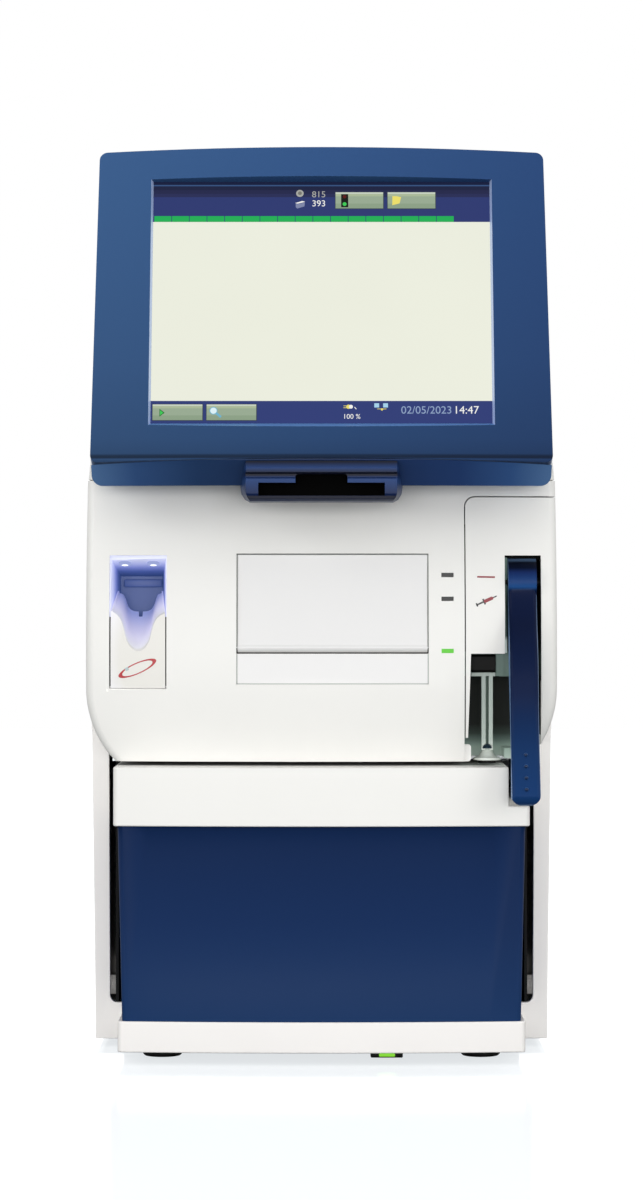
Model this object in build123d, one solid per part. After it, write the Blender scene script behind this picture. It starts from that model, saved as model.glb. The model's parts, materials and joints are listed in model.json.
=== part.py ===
from build123d import *
import os
from math import asin, atan2, cos, degrees, hypot, radians, sin, sqrt

# A bench-top blood gas analyzer. Millimetres. +X is the operator's right, -Y is towards the operator, +Z is up.
# The origin is on the table, under the middle of the whole unit.

# ------------------------------------------------------------------ thicknesses and gaps
wall = 3.0               # moulded outer covers
thin_wall = 1.5          # small inner mouldings
sheet = 1.5              # steel sheet of the chassis
seam = 0.6               # open line between two covers
drop_gap = 0.3           # a piece that drops into another
pin_gap = 0.05           # radial clearance of a pin in its bore
chassis_hole = 2.6       # radius of the plain holes in the sheet

# ------------------------------------------------------------------ solution pack
pack_front_y = -118.0    # front of the cap on the centre line
pack_width = 204.0
pack_height = 97.5
pack_depth = 190.0
pack_draw_in = 2.2       # how far each side leans in at the bottom
pack_corner = 2.5
pack_wall = 2.5
pack_bow = 1000.0        # plan radius of the bowed fronts of the pack and the sill
pack_setback = 1.8       # blue front behind the cap's front
cap_height = 29.5
cap_overhang = 2.1
lever_step = 10.0        # height of the cap's right edge, stepped down for the lever's tip
lever_step_width = 10.7
port_plate = 3.0
port_count = 6
port_radius = 3.0
port_pitch = 12.0
pouch_count = 3
pouch_height = 84.0

# ------------------------------------------------------------------ base
foot_height = 6.0
foot_radius = 10.0
foot_spread = 81.0
foot_setback = 44.0      # front feet behind the cap's front
rear_foot_setback = 14.0 # rear feet before the bulkhead
sill_height = 15.5
sill_setback = 1.2
sill_wall = 3.0
runner_width = 12.0
runner_spread = 66.0

# ------------------------------------------------------------------ chassis
bay_clearance = 1.6      # cap to chassis wall
panel_standoff = 8.8     # chassis wall to side panel
manifold_depth = 18.0
rear_bay = 26.2          # manifold to bulkhead
connector_space = 19.0   # bulkhead to rear cover
pack_headroom = 2.1      # cap to shelf
chassis_top_drop = 8.0   # chassis below the top of the front cover

# ------------------------------------------------------------------ front covers
front_height = 142.0
front_bow = 800.0        # plan radius of the front
belly_setback = 14.0     # belly behind the cap's front
lip_setback = 5.3        # lower edge behind the belly
brow_setback = 16.0      # upper edge behind the belly
belly_rise = 54.0        # height of the belly's crown over the lower edge
side_seam_y = -50.0      # where the front cover meets the side panels
front_edge_radius = 5.0
corner_cut = 14.5        # how far the cover's lower corners draw in
corner_rise = 37.0
lip_depth = 9.0

# ------------------------------------------------------------------ side panels
foot_edge_y = -38.0      # lower front edge of the side panels
panel_lift = 4.0
panel_draft = 1.6
flange_width = 7.5
flange_depth = 4.0
flange_foot_rise = 1.2   # widened foot of the flange above the sill
flange_foot_corner = 4.0
panel_boss_radius = 5.0

# ------------------------------------------------------------------ display head
chin_overhang = 21.0     # head's lower front edge before the cap's front
chin_rise = 9.4          # that edge above the front cover
head_tilt = 16.0
head_width = 229.0
head_top_narrowing = 4.5
face_height = 165.0
face_bow = 820.0
bezel_depth = 28.0
head_depth = 62.0
head_corner = 4.0
bezel_wall = 3.0
chin_drop = 13.2
chin_depth = 12.5
chin_lip = 4.0
chin_corner = 5.0
head_underside = 1.4     # above the front cover
screen_width = 169.6
screen_height = 128.6
screen_rise = 20.6       # lower edge of the screen above the head's lower edge, along the face
screen_recess = 8.0
screen_rim = 2.5
glass_thickness = 2.0
glass_margin = 4.0
display_thickness = 9.0

# ------------------------------------------------------------------ barcode reader
reader_stand_out = 6.0   # before the head's lower edge
reader_width = 81.0
reader_drop = 8.3        # below the chin
reader_depth = 34.0
slot_width = 62.0
slot_height = 6.3
slot_rise = 2.7
hump_width = 25.5
hump_height = 4.3
reader_module_depth = 12.0
reader_module_height = 5.0

# ------------------------------------------------------------------ sensor cassette
door_left = -42.2
door_right = 53.3
door_bottom_rise = 55.0  # door's lower edge above the front cover's lower edge
door_height = 49.2
door_thickness = 2.4
door_recess = 2.0
strip_height = 16.0
door_pin_radius = 0.9
cassette_width = 76.0
cassette_height = 38.0
cassette_depth = 46.0
bay_wall = 3.0
bay_front_y = -92.0
bay_depth = 58.0

# ------------------------------------------------------------------ status lenses
lens_x = 63.4
lens_width = 6.0
lens_height = 2.0
lens_flange = 1.0
lens_rises = (94.0, 82.0)
ready_rise = 55.8

# ------------------------------------------------------------------ sample mixer
mixer_left = -107.0
mixer_width = 29.0
mixer_bottom_rise = 36.4
mixer_height = 67.5
mixer_back_y = -52.0
cradle_plate_height = 37.0
cradle_gap = 0.6
funnel_rise = 17.4       # bottom of the funnel's mouth above the recess
funnel_back_rise = 39.6  # bottom of the funnel at its rear
funnel_back_half = 11.0
funnel_curve = ((0.56, 0.40), (0.32, 0.87))  # flank points: share of the half width, share of the depth
horn_rise = 49.6
horn_y = -71.0
cradle_pivot_y = -80.0
cradle_pivot_rise = 9.6
cradle_back_y = -66.0
rear_notch_width = 2.0   # narrow notch in the funnel's rear edge
rear_notch_depth = 3.6
mixer_shaft_radius = 2.0
mixer_motor_radius = 12.0
mixer_motor_length = 24.0
motor_coupling = 8.0     # shaft inside the motor
lamp_radius = 3.2
lamp_thickness = 1.2
lamp_spacing = 14.5
lamp_y = -84.0
ceiling_drop = 11.0      # how far the recess's ceiling slopes down towards the rear

# ------------------------------------------------------------------ sample inlet
inlet_left = 72.6
inlet_top_drop = 8.6     # below the top of the front cover
inlet_corner = 5.0
recess_rise = 54.4       # recess height over the front cover's lower edge
leg_width = 2.6          # thin leg of the inlet cover beside the recess, at its top
leg_foot_width = 1.2
leg_rise = 12.0          # leg's lower end above the front cover's lower edge
inlet_boss_width = 3.4
inlet_boss_height = 8.6
inlet_boss_corner = 1.6
slot_left = 92.4
lever_slot_width = 18.4
lever_slot_rise = 103.9
lever_width = 14.7
lever_offset = -0.5      # blade right of its hub's middle
lever_pivot_y = -86.0
lever_pivot_rise = 90.4
hub_radius = 12.0
lever_pin_radius = 2.0
lever_tip_out = 15.0     # lever's tip before the cap's front
lever_tip_clearance = 1.1
lever_tip_thickness = 12.0
lever_tip_corner = 5.8
arm_pivot_rise = 48.9
arm_pin_radius = 1.5
arm_block_width = 12.3
arm_block_height = 9.1
arm_block_depth = 12.0
arm_x = 83.8
arm_block_offset = -2.0  # block left of the column
rail_width = 2.2
rail_slot = 1.4
rail_depth = 6.0
rail_head_height = 2.0
collar_height = 6.1
collar_radius = 7.0
collar_neck = 2.7
collar_rim = 1.2
gasket_radius = 4.5
gasket_height = 1.6
gasket_clearance = 0.9   # above the cap
probe_radius = 0.5
bracket_back_y = -57.0

# ------------------------------------------------------------------ top cover and printer
top_height = 107.4
top_narrowing = 8.0
top_flat = 140.0
rear_corner_rise = 58.0
cover_edge_radius = 6.0
paper_width = 58.0
paper_radius = 23.0
core_radius = 6.0
spindle_radius = 3.0
platen_radius = 5.0
platen_shaft_radius = 2.0
tray_depth = 62.0
tray_length = 84.0
tray_front_y = 4.0
flange_overlap = 4.0
lid_thickness = 2.5
lid_pin_radius = 1.5
exit_gap = 3.0
button_radius = 6.0
button_height = 3.0      # above the cover
button_collar = 1.2
grip_width = 92.0
grip_height = 30.0
grip_depth = 36.0

# ------------------------------------------------------------------ rear
rear_corner_radius = 10.0
fan_size = 60.0
fan_depth = 15.0
fan_x = -58.0
fan_drop = 50.0          # fan's centre below the top of the chassis
fan_hub_radius = 12.0
fan_blade_count = 7
fan_shaft_radius = 1.5
grille_slot_count = 9
grille_slot_height = 3.4
grille_pitch = 6.0
inlet_socket_width = 48.0
inlet_socket_height = 27.5
inlet_socket_x = -72.0
inlet_flange = 2.0
rear_row_z = 46.0
switch_width = 19.0
switch_x = -33.0
switch_axle_radius = 1.5
switch_depth = 5.0       # axle behind the rear cover's face
port_sizes = ((32.0, 17.0, 14.0), (55.0, 16.0, 8.0), (76.0, 16.0, 8.0))  # x, width, height of the data ports
screw_radius = 1.6
screw_head_radius = 3.2
screw_head_height = 2.0

# ------------------------------------------------------------------ modules on the shelf
pump_radius = 16.0
pump_x = -45.0
pump_width = 40.0
pump_depth = 26.0
pump_height = 44.0
pump_shaft_radius = 2.0
optics_size = (38.0, 60.0, 72.0)
optics_x = 37.0
supply_size = (78.0, 60.0, 42.0)
supply_x = 60.0
battery_size = (78.0, 60.0, 30.0)
battery_x = -62.0
module_rear_gap = 8.0
board_width = 190.0
board_height = 74.0
board_rise = 50.0
board_thickness = 1.6
standoff_length = 5.0
tube_radius = 1.5
tube_pitch = 8.0
tube_count = 3
tube_bend = 15.0

# ------------------------------------------------------------------ worked out from the sizes above
cap_half = pack_width / 2 + cap_overhang
bay_half = cap_half + bay_clearance
chassis_half = bay_half + sheet
body_half = chassis_half + panel_standoff + wall

pack_rear_y = pack_front_y + pack_depth
manifold_y = pack_rear_y + port_plate + drop_gap
bulkhead_y = manifold_y + manifold_depth + rear_bay
rear_inner_y = bulkhead_y + sheet + connector_space
rear_face_y = rear_inner_y + wall
switch_y = rear_face_y - switch_depth
flange_rear_y = foot_edge_y + flange_depth

sill_top_z = foot_height + sill_height
cap_z = sill_top_z + pack_height
pack_top_z = cap_z + cap_height
lip_z = pack_top_z + pack_headroom
cover_top_z = lip_z + front_height
chassis_top_z = cover_top_z - chassis_top_drop
fan_z = chassis_top_z - fan_drop
floor_z = foot_height + sill_wall
shelf_top_z = lip_z + sheet

belly_y = pack_front_y + belly_setback
lip_rear_y = belly_y + lip_setback + lip_depth
shelf_front_y = lip_rear_y + 2
crease_y = pack_front_y - chin_overhang
crease_z = cover_top_z + chin_rise
reader_front_y = crease_y - reader_stand_out
reader_bottom_z = crease_z - chin_drop - reader_drop

door_z = lip_z + door_bottom_rise
door_top_z = door_z + door_height
strip_z = door_z - strip_height
mixer_z = lip_z + mixer_bottom_rise
mixer_top_z = mixer_z + mixer_height
mixer_x = mixer_left + mixer_width / 2
mixer_right = mixer_left + mixer_width
recess_z = lip_z + recess_rise
inlet_top_z = cover_top_z - inlet_top_drop
slot_right = slot_left + lever_slot_width
slot_top_z = lip_z + lever_slot_rise
lever_z = lip_z + lever_pivot_rise
lever_x = (slot_left + slot_right) / 2
arm_z = lip_z + arm_pivot_rise
gasket_z = pack_top_z + gasket_clearance
collar_z = gasket_z + gasket_height
tip_z = cap_z + lever_step + lever_tip_clearance


# ------------------------------------------------------------------ helpers
def block(x0, x1, y0, y1, z0, z1):
    """Box between two corners."""
    return Pos((x0 + x1) / 2, (y0 + y1) / 2, (z0 + z1) / 2) * Box(x1 - x0, y1 - y0, z1 - z0)


def rounded_block(x0, x1, y0, y1, z0, z1, radius, axis):
    """Box whose edges along one axis are rounded."""
    solid = block(x0, x1, y0, y1, z0, z1)
    return fillet(solid.edges().filter_by(axis), radius)


def prism_x(outline, x0, x1):
    """Solid of a (y, z) outline from x0 to x1."""
    plane = Plane(origin=(x0, 0, 0), x_dir=(0, 1, 0), z_dir=(1, 0, 0))
    return extrude(plane * face_of(outline), amount=x1 - x0)


def prism_y(outline, y0, y1):
    """Solid of an (x, z) outline from y0 to y1."""
    plane = Plane(origin=(0, y1, 0), x_dir=(1, 0, 0), z_dir=(0, -1, 0))
    return extrude(plane * face_of(outline), amount=y1 - y0)


def face_of(outline):
    """Flat face of an outline: its corner points, or edges already drawn."""
    if isinstance(outline, (list, tuple)):
        return make_face(Polyline(*outline, close=True))
    return outline


def rod(x, y, z, radius, length, axis):
    """Round bar that starts at a point and runs along +X, +Y or +Z."""
    turn = {"X": Rot(0, 90, 0), "Y": Rot(-90, 0, 0), "Z": Rot(0, 0, 0)}[axis]
    return Pos(x, y, z) * turn * Pos(0, 0, length / 2) * Cylinder(radius, length)


def bowed(front_y, radius):
    """Upright round bar whose front line is at front_y, for fronts bowed in plan."""
    tall = cover_top_z + top_height
    return Pos(0, front_y + radius, tall / 2) * Cylinder(radius, 2 * tall)


def arc_centre(p, q, r):
    """Centre and radius of the circle through three points."""
    ax, ay, bx, by, cx, cy = *p, *q, *r
    d = 2 * (ax * (by - cy) + bx * (cy - ay) + cx * (ay - by))
    pp, qq, rr = ax * ax + ay * ay, bx * bx + by * by, cx * cx + cy * cy
    ux = (pp * (by - cy) + qq * (cy - ay) + rr * (ay - by)) / d
    uy = (pp * (cx - bx) + qq * (ax - cx) + rr * (bx - ax)) / d
    return ux, uy, hypot(ax - ux, ay - uy)


belly_arc = arc_centre(
    (belly_y + lip_setback, lip_z), (belly_y, lip_z + belly_rise), (belly_y + brow_setback, cover_top_z)
)


def belly_y_at(z, inset=0.0):
    """Y of the front covers on the centre line at a height."""
    y, middle_z, radius = belly_arc
    return y - sqrt((radius - inset) ** 2 - (z - middle_z) ** 2)


def bow_drop(x, radius):
    """How far a bowed front lies behind its centre line at x."""
    return radius - sqrt(radius**2 - x**2)


# ------------------------------------------------------------------ solution pack
def pack_outline(inset, bottom_z, top_z):
    """Front view of the blue shell, leaning in towards the bottom."""
    low = pack_width / 2 - pack_draw_in - inset
    high = pack_width / 2 - inset
    return [(-low, bottom_z), (low, bottom_z), (high, top_z), (-high, top_z)]


def pack_shell():
    """Blue open box with ports at the rear."""
    front_y = pack_front_y + pack_setback
    outer = prism_y(pack_outline(0, sill_top_z, cap_z), front_y - 1, pack_rear_y) & bowed(front_y, pack_bow)
    outer = fillet(outer.edges().filter_by(Axis.Y).group_by(Axis.Z)[0], pack_corner)
    inner = prism_y(
        pack_outline(pack_wall, sill_top_z + pack_wall, cap_z + 1), front_y, pack_rear_y - pack_wall
    ) & bowed(front_y + pack_wall, pack_bow)
    shell = outer - inner
    plate_half = port_count * port_pitch / 2
    plate_z = sill_top_z + pack_height / 2
    shell += block(-plate_half, plate_half, pack_rear_y, pack_rear_y + port_plate, plate_z - 12, plate_z + 12)
    for i in range(port_count):
        x = (i - (port_count - 1) / 2) * port_pitch
        shell -= rod(x, pack_rear_y + port_plate / 2, plate_z, port_radius, port_plate, "Y")
    return shell


def pack_cap():
    """White lid; its right edge is stepped down along its length so that it passes the lever's tip."""
    front_y = pack_front_y
    lid = block(-cap_half, cap_half, front_y - 1, pack_rear_y, cap_z, pack_top_z) & bowed(front_y, pack_bow)
    lid = fillet(lid.edges().filter_by(Axis.Z), pack_corner)
    skirt = pack_wall + cap_overhang
    hollow = block(
        -cap_half + skirt, cap_half - skirt, front_y, pack_rear_y - skirt, cap_z - 1, pack_top_z - pack_wall
    ) & bowed(front_y + skirt, pack_bow)
    step_x = cap_half - lever_step_width
    hollow -= block(step_x - skirt, cap_half, front_y, pack_rear_y, cap_z + lever_step - pack_wall, pack_top_z)
    step = block(step_x, cap_half + 1, front_y - 1, pack_rear_y + 1, cap_z + lever_step, pack_top_z + 1)
    return lid - hollow - step


def reagent_pouches():
    """Pouches standing side by side in the pack."""
    inside = pack_width - 2 * pack_draw_in - 2 * pack_wall
    pitch = inside / pouch_count
    group = []
    for i in range(pouch_count):
        x = -inside / 2 + (i + 0.5) * pitch
        half = pitch / 2 - 1.5
        z = sill_top_z + pack_wall
        pouch = block(x - half, x + half, pack_front_y + 10, pack_rear_y - 10, z, z + pouch_height)
        group.append(fillet(pouch.edges().filter_by(Axis.Y), 12))
    return Compound(group)


# ------------------------------------------------------------------ base and chassis
def base_sill():
    """White moulding under the pack: front band, cheeks and bottom."""
    front_y = pack_front_y + sill_setback
    half = pack_width / 2
    outer = block(-half, half, front_y - 1, foot_edge_y, foot_height, sill_top_z) & bowed(front_y, pack_bow)
    outer = fillet(outer.edges().filter_by(Axis.Z).group_by(Axis.Y)[0], pack_corner)
    inner = block(
        -half + sill_wall, half - sill_wall, front_y, foot_edge_y + 1, floor_z, sill_top_z + 1
    ) & bowed(front_y + sill_wall, pack_bow)
    return outer - inner


def floor_plate():
    """Steel floor: a tongue in the sill and a wide rear that carries the chassis walls."""
    front_y = pack_front_y + sill_setback + sill_wall + 2
    tongue_half = pack_width / 2 - sill_wall - drop_gap
    rear_y = flange_rear_y + drop_gap
    tongue = block(-tongue_half, tongue_half, front_y, rear_y, floor_z, floor_z + sheet)
    rear = block(-chassis_half, chassis_half, rear_y, bulkhead_y + sheet, floor_z, floor_z + sheet)
    plate = tongue & bowed(front_y, pack_bow)
    return plate + rear


def rubber_feet():
    """Front feet under the sill, taller rear feet under the floor plate."""
    group = []
    for x in (-foot_spread, foot_spread):
        front = rod(x, pack_front_y + foot_setback, 0, foot_radius, foot_height, "Z")
        rear = rod(x, bulkhead_y - rear_foot_setback, 0, foot_radius, floor_z, "Z")
        group += [chamfer(foot.edges().group_by(Axis.Z)[0], 1) for foot in (front, rear)]
    return Compound(group)


def pack_runners():
    """Rails that the pack slides on."""
    z = floor_z + sheet
    front_y = pack_front_y + sill_setback + sill_wall + 8
    return Compound([
        block(x - runner_width / 2, x + runner_width / 2, front_y, pack_rear_y, z, sill_top_z)
        for x in (-runner_spread, runner_spread)
    ])


def chassis_walls():
    """Two upright steel sheets beside the pack bay."""
    z = floor_z + sheet
    front_y = flange_rear_y + drop_gap
    group = []
    for side in (-1, 1):
        x0, x1 = sorted((side * bay_half, side * chassis_half))
        group.append(block(x0, x1, front_y, bulkhead_y, z, chassis_top_z))
    return Compound(group)


def chassis_shelf():
    """Steel shelf over the pack bay, cut away under the sample inlet, with holes for the tubes."""
    shelf = block(-bay_half, bay_half, shelf_front_y, bulkhead_y, lip_z, shelf_top_z)
    shelf -= block(inlet_left - 2, bay_half + 1, shelf_front_y - 1, bracket_back_y - 6, lip_z - 1, shelf_top_z + 1)
    for x in tube_places():
        shelf -= rod(x, manifold_y + manifold_depth / 2, lip_z - 1, chassis_hole, sheet + 2, "Z")
    return shelf


def rear_bulkhead():
    """Steel sheet that closes the chassis at the rear and carries the fan."""
    z = floor_z + sheet
    plate = block(-chassis_half, chassis_half, bulkhead_y, bulkhead_y + sheet, z, chassis_top_z)
    return plate - rod(fan_x, bulkhead_y - 1, fan_z, fan_size / 2 - 3, sheet + 2, "Y")


# ------------------------------------------------------------------ side panels and rear
def side_outline(inset):
    """Front view of the right panel's skin: upright above, leaning in a little towards the floor."""
    bend_z = lip_z + corner_rise
    top, low = body_half - inset, body_half - panel_draft - inset
    return top, bend_z, low


def side_panel(side):
    """Skin with a front flange and bosses that sit on the chassis wall."""
    top, bend_z, low = side_outline(0)
    seam_z = lip_z + corner_rise + 4
    skin = prism_y(
        [(top - wall, cover_top_z), (top, cover_top_z), (top, bend_z), (low, panel_lift),
         (low - wall, panel_lift), (top - wall, bend_z)],
        side_seam_y, rear_inner_y - rear_corner_radius - 2,
    )
    front = [(side_seam_y - 1, panel_lift - 1), (side_seam_y - 1, seam_z), (side_seam_y, seam_z),
             (foot_edge_y, panel_lift + 30), (foot_edge_y, panel_lift - 1)]
    skin -= prism_x(front, low - wall - 1, body_half + 1)
    flange = prism_x(
        [(side_seam_y, seam_z), (side_seam_y + flange_depth, seam_z),
         (foot_edge_y + flange_depth, panel_lift + 30), (foot_edge_y + flange_depth, panel_lift),
         (foot_edge_y, panel_lift), (foot_edge_y, panel_lift + 30)],
        low - flange_width, low - 1,
    )
    inner_x = low - flange_width
    fill = block(pack_width / 2 + seam, inner_x + 1, foot_edge_y, flange_rear_y, panel_lift,
                 sill_top_z + flange_foot_rise + flange_foot_corner)
    corner_x, corner_z = inner_x - flange_foot_corner, sill_top_z + flange_foot_rise + flange_foot_corner
    bite = rod(corner_x, foot_edge_y - 1, corner_z, flange_foot_corner, flange_depth + 2, "Y")
    bite += block(0, corner_x, foot_edge_y - 1, flange_rear_y + 1, sill_top_z + flange_foot_rise, corner_z + 1)
    panel = skin + flange + (fill - bite)
    for y in (foot_edge_y + 30, bulkhead_y - 20):
        for z in (floor_z + 20, chassis_top_z - 20):
            panel += rod(chassis_half, y, z, panel_boss_radius, panel_standoff + wall / 2, "X")
    return panel if side > 0 else mirror(panel, Plane.YZ)


def rear_cover():
    """Moulded back with a fan grille, windows for the sockets and bosses to the bulkhead."""
    y0 = rear_inner_y - rear_corner_radius - 2
    outer = block(-body_half, body_half, y0, rear_face_y, panel_lift, cover_top_z)
    outer = fillet(outer.edges().filter_by(Axis.Z).group_by(Axis.Y)[-1], rear_corner_radius)
    inner = block(-body_half + wall, body_half - wall, y0 - 1, rear_inner_y, panel_lift + wall, cover_top_z + 1)
    inner = fillet(inner.edges().filter_by(Axis.Z).group_by(Axis.Y)[-1], rear_corner_radius - wall)
    cover = outer - inner
    for i in range(grille_slot_count):
        z = fan_z + (i - (grille_slot_count - 1) / 2) * grille_pitch
        half = sqrt(max((fan_size / 2) ** 2 - (z - fan_z) ** 2, 100))
        cover -= block(fan_x - half, fan_x + half, rear_inner_y - 1, rear_face_y + 1,
                       z - grille_slot_height / 2, z + grille_slot_height / 2)
    for x, width, height in rear_windows():
        cover -= block(x - width / 2 - drop_gap, x + width / 2 + drop_gap, rear_inner_y - 1, rear_face_y + 1,
                       rear_row_z - height / 2 - drop_gap, rear_row_z + height / 2 + drop_gap)
    for x, z in screw_places():
        cover += rod(x, bulkhead_y + sheet, z, screw_head_radius + 1.5, connector_space + wall / 2, "Y")
        cover -= rod(x, bulkhead_y + sheet + 4, z, screw_radius + drop_gap, connector_space + wall, "Y")
    return cover


def rear_windows():
    """Centre, width and height of each opening in the rear cover."""
    left, right = module_sides()
    return [((left + right) / 2, right - left, inlet_socket_height)] + list(port_sizes)


def screw_places():
    """Where the rear cover is screwed to the bulkhead."""
    x = chassis_half - 8
    return [(side * x, z) for side in (-1, 1) for z in (floor_z + 12, lip_z, chassis_top_z - 10)]


def housing_screws():
    """Pan-head screws of the rear cover."""
    group = []
    for x, z in screw_places():
        shank = rod(x, bulkhead_y + sheet + 5, z, screw_radius, rear_face_y - bulkhead_y - sheet - 5, "Y")
        head = rod(x, rear_face_y, z, screw_head_radius, screw_head_height, "Y")
        head = fillet(head.edges().group_by(Axis.Y)[-1], 0.8)
        group.append(shank + head)
    return Compound(group)


# ------------------------------------------------------------------ front covers
def front_outline(inset):
    """Front view of the front covers: straight sides, lower corners drawn in on an arc."""
    x0, z0 = body_half - corner_cut - inset, lip_z + inset
    x2, z2 = body_half - inset, lip_z + corner_rise
    top = cover_top_z - inset
    right = TangentArc((x2, z2), (x0, z0), tangent=(0, -1))
    left = TangentArc((-x2, z2), (-x0, z0), tangent=(0, -1))
    rest = [Line((x2, z2), (x2, top)), Line((x2, top), (-x2, top)), Line((-x2, top), (-x2, z2)),
            Line((-x0, z0), (x0, z0))]
    return make_face([right, left] + rest)


def belly_block(inset):
    """Solid behind the bowed front, drawn in by inset all round but at the rear."""
    y, middle_z, radius = belly_arc
    low, high = lip_z - 5, cover_top_z + 5
    points = [(belly_y_at(z, inset), z) for z in (low, middle_z, high)]
    back_y = side_seam_y + 30
    edges = [ThreePointArc(*points), Line(points[2], (back_y, high)), Line((back_y, high), (back_y, low)),
             Line((back_y, low), points[0])]
    profile = Plane.YZ * make_face(edges)
    axis_y = belly_y + front_bow
    half_turn = degrees(asin((body_half + 5) / (front_bow - 60)))
    axis = Axis((0, axis_y, 0), (0, 0, 1))
    solid = revolve(profile, axis, 2 * half_turn).rotate(axis, -half_turn)
    rear_y = side_seam_y + (1 if inset else 0)
    return solid & prism_y(front_outline(inset), belly_y - 20, rear_y)


def front_shell():
    """The whole bowed front as one thin shell, before it is divided."""
    outer = belly_block(0)
    corners = outer.edges().filter_by(lambda e: abs(abs(e.center().X) - body_half) < 0.01)
    corners = corners.filter_by(lambda e: e.center().Y < side_seam_y - 5 and e.length > front_height / 2)
    outer = fillet(corners, front_edge_radius)
    shell = outer - belly_block(wall)
    return shell - block(-bay_half - 1, bay_half + 1, lip_rear_y, side_seam_y + 2, lip_z - 1, lip_z + wall + 1)


def inlet_region(grow):
    """Front view of the area that the inlet cover closes, with one rounded corner, grown by a gap."""
    x0, z1 = inlet_left - grow, inlet_top_z + grow
    area = block(x0, body_half + 20, belly_y - 20, side_seam_y + 2, lip_z - 10, z1)
    corner = area.edges().filter_by(Axis.Y).sort_by(lambda e: e.center().X - e.center().Z)[0]
    return fillet(corner, inlet_corner + grow)


def door_line(z, inset=0.0):
    """Y of the flat door's front at a height; the door is sunk behind the bowed cover."""
    y0 = belly_y_at(door_z) + door_recess
    y1 = belly_y_at(door_top_z) + door_recess
    return y0 + (y1 - y0) * (z - door_z) / door_height + inset


def front_cover():
    """White belly cover with the windows of the mixer, the cassette door and the lenses."""
    cover = front_shell() - inlet_region(seam)
    strip_y = door_line(door_z)
    backing = block(door_left - 4, door_right + 4, strip_y - 0.5, strip_y + 4, strip_z - 2, door_z - seam)
    cover += backing & belly_block(0.2)
    x0, x1 = door_left - seam, door_right + seam
    top = door_top_z + seam
    cover -= prism_x(
        [(belly_y - 20, strip_z), (strip_y, strip_z), (strip_y, door_z), (door_line(top), top), (belly_y - 20, top)],
        x0, x1,
    )
    cover -= block(x0, x1, belly_y - 20, strip_y + 20, door_z - seam, top)
    for x in (x0 - 2, x1 + 2):
        pin_y, pin_z = door_pivot()
        lug = block(x - 2, x + 2, pin_y - 1.5, pin_y + 4, pin_z - 3, pin_z + 3)
        cover += lug
    pin_y, pin_z = door_pivot()
    cover -= rod(x0 - 3, pin_y, pin_z, door_pin_radius + pin_gap, x1 - x0 + 6, "X")
    cover -= block(mixer_left, mixer_right, belly_y - 20, side_seam_y - 2, mixer_z, mixer_top_z)
    for z in [lip_z + rise for rise in lens_rises] + [lip_z + ready_rise]:
        cover -= lens_bar(z, belly_y - 20, belly_y + 20, drop_gap / 3)
    boss_y = belly_y_at(lip_z) + bow_drop(inlet_left, front_bow) + 1
    boss_x = inlet_left - seam
    boss = block(boss_x - wall, boss_x + inlet_boss_width, boss_y, boss_y + 2 * wall, lip_z, lip_z + inlet_boss_height)
    return cover + fillet(boss.edges().filter_by(Axis.Y).group_by(Axis.X)[-1], inlet_boss_corner)


def inlet_cover():
    """White cover of the sample inlet: a panel with a thin leg, and a wrap over the lever's slot."""
    cover = front_shell() & inlet_region(0)
    leg_z = lip_z + leg_rise
    recess = [(inlet_left + leg_width, recess_z), (slot_left + 1, recess_z), (slot_left + 1, lip_z - 5),
              (inlet_left - 1, lip_z - 5), (inlet_left - 1, leg_z), (inlet_left + leg_foot_width, leg_z)]
    cover -= prism_y(recess, belly_y - 20, side_seam_y + 2)
    return cover - block(slot_left, slot_right, belly_y - 20, side_seam_y + 2, lip_z - 5, slot_top_z)


# ------------------------------------------------------------------ sensor cassette
def door_pivot():
    """Y and Z of the door's hinge line, inside the door's lower edge."""
    radius = door_thickness
    return door_line(door_z) + radius, door_z + radius


def cassette_door():
    """Flat door whose rolled lower edge turns on the pin."""
    pin_y, pin_z = door_pivot()
    outline = [(door_line(pin_z), pin_z), (door_line(door_top_z), door_top_z),
               (door_line(door_top_z, door_thickness), door_top_z), (door_line(pin_z, door_thickness), pin_z)]
    door = prism_x(outline, door_left, door_right)
    door += rod(door_left, pin_y, pin_z, door_thickness, door_right - door_left, "X")
    return door - rod(door_left - 1, pin_y, pin_z, door_pin_radius + pin_gap, door_right - door_left + 2, "X")


def door_hinge_pin():
    """Steel pin along the door's lower edge, held in the cover's lugs."""
    pin_y, pin_z = door_pivot()
    x0 = door_left - seam - 2.5
    return rod(x0, pin_y, pin_z, door_pin_radius, door_right - door_left + 2 * (seam + 2.5), "X")


def cassette_bay():
    """Moulded bay on two legs that holds the sensor cassette behind the door."""
    x0, x1 = door_left - bay_wall, door_right + bay_wall
    rear_y = bay_front_y + bay_depth
    bay = block(x0, x1, bay_front_y, rear_y, shelf_top_z, door_top_z + bay_wall)
    bay -= block(x0 + bay_wall, x1 - bay_wall, bay_front_y - 1, rear_y - 2 * bay_wall, door_z, door_top_z)
    bay -= block(x0 + 9, x1 - 9, bay_front_y - 1, rear_y - 2 * bay_wall, shelf_top_z - 1, door_z - 8)
    return bay - block(x0 - 1, x1 + 1, bay_front_y - 1, shelf_front_y, shelf_top_z - 1, lip_z + 2 * wall)


def sensor_cassette():
    """Cassette with a sloping front label area and a grip rib."""
    x = (door_left + door_right) / 2
    half = cassette_width / 2
    y0 = bay_front_y + 2
    body = block(x - half, x + half, y0, y0 + cassette_depth, door_z, door_z + cassette_height)
    body = fillet(body.edges().filter_by(Axis.Y), 3)
    return body - block(x - half + 8, x + half - 8, y0 - 1, y0 + 3, door_z + 8, door_z + cassette_height - 8)


def lens_bar(z, y0, y1, grow=0.0):
    """Bar of a status light from y0 to y1, grown all round."""
    half, tall = lens_width / 2 + grow, lens_height / 2 + grow
    return block(lens_x - half, lens_x + half, y0, y1, z - tall, z + tall)


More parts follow.
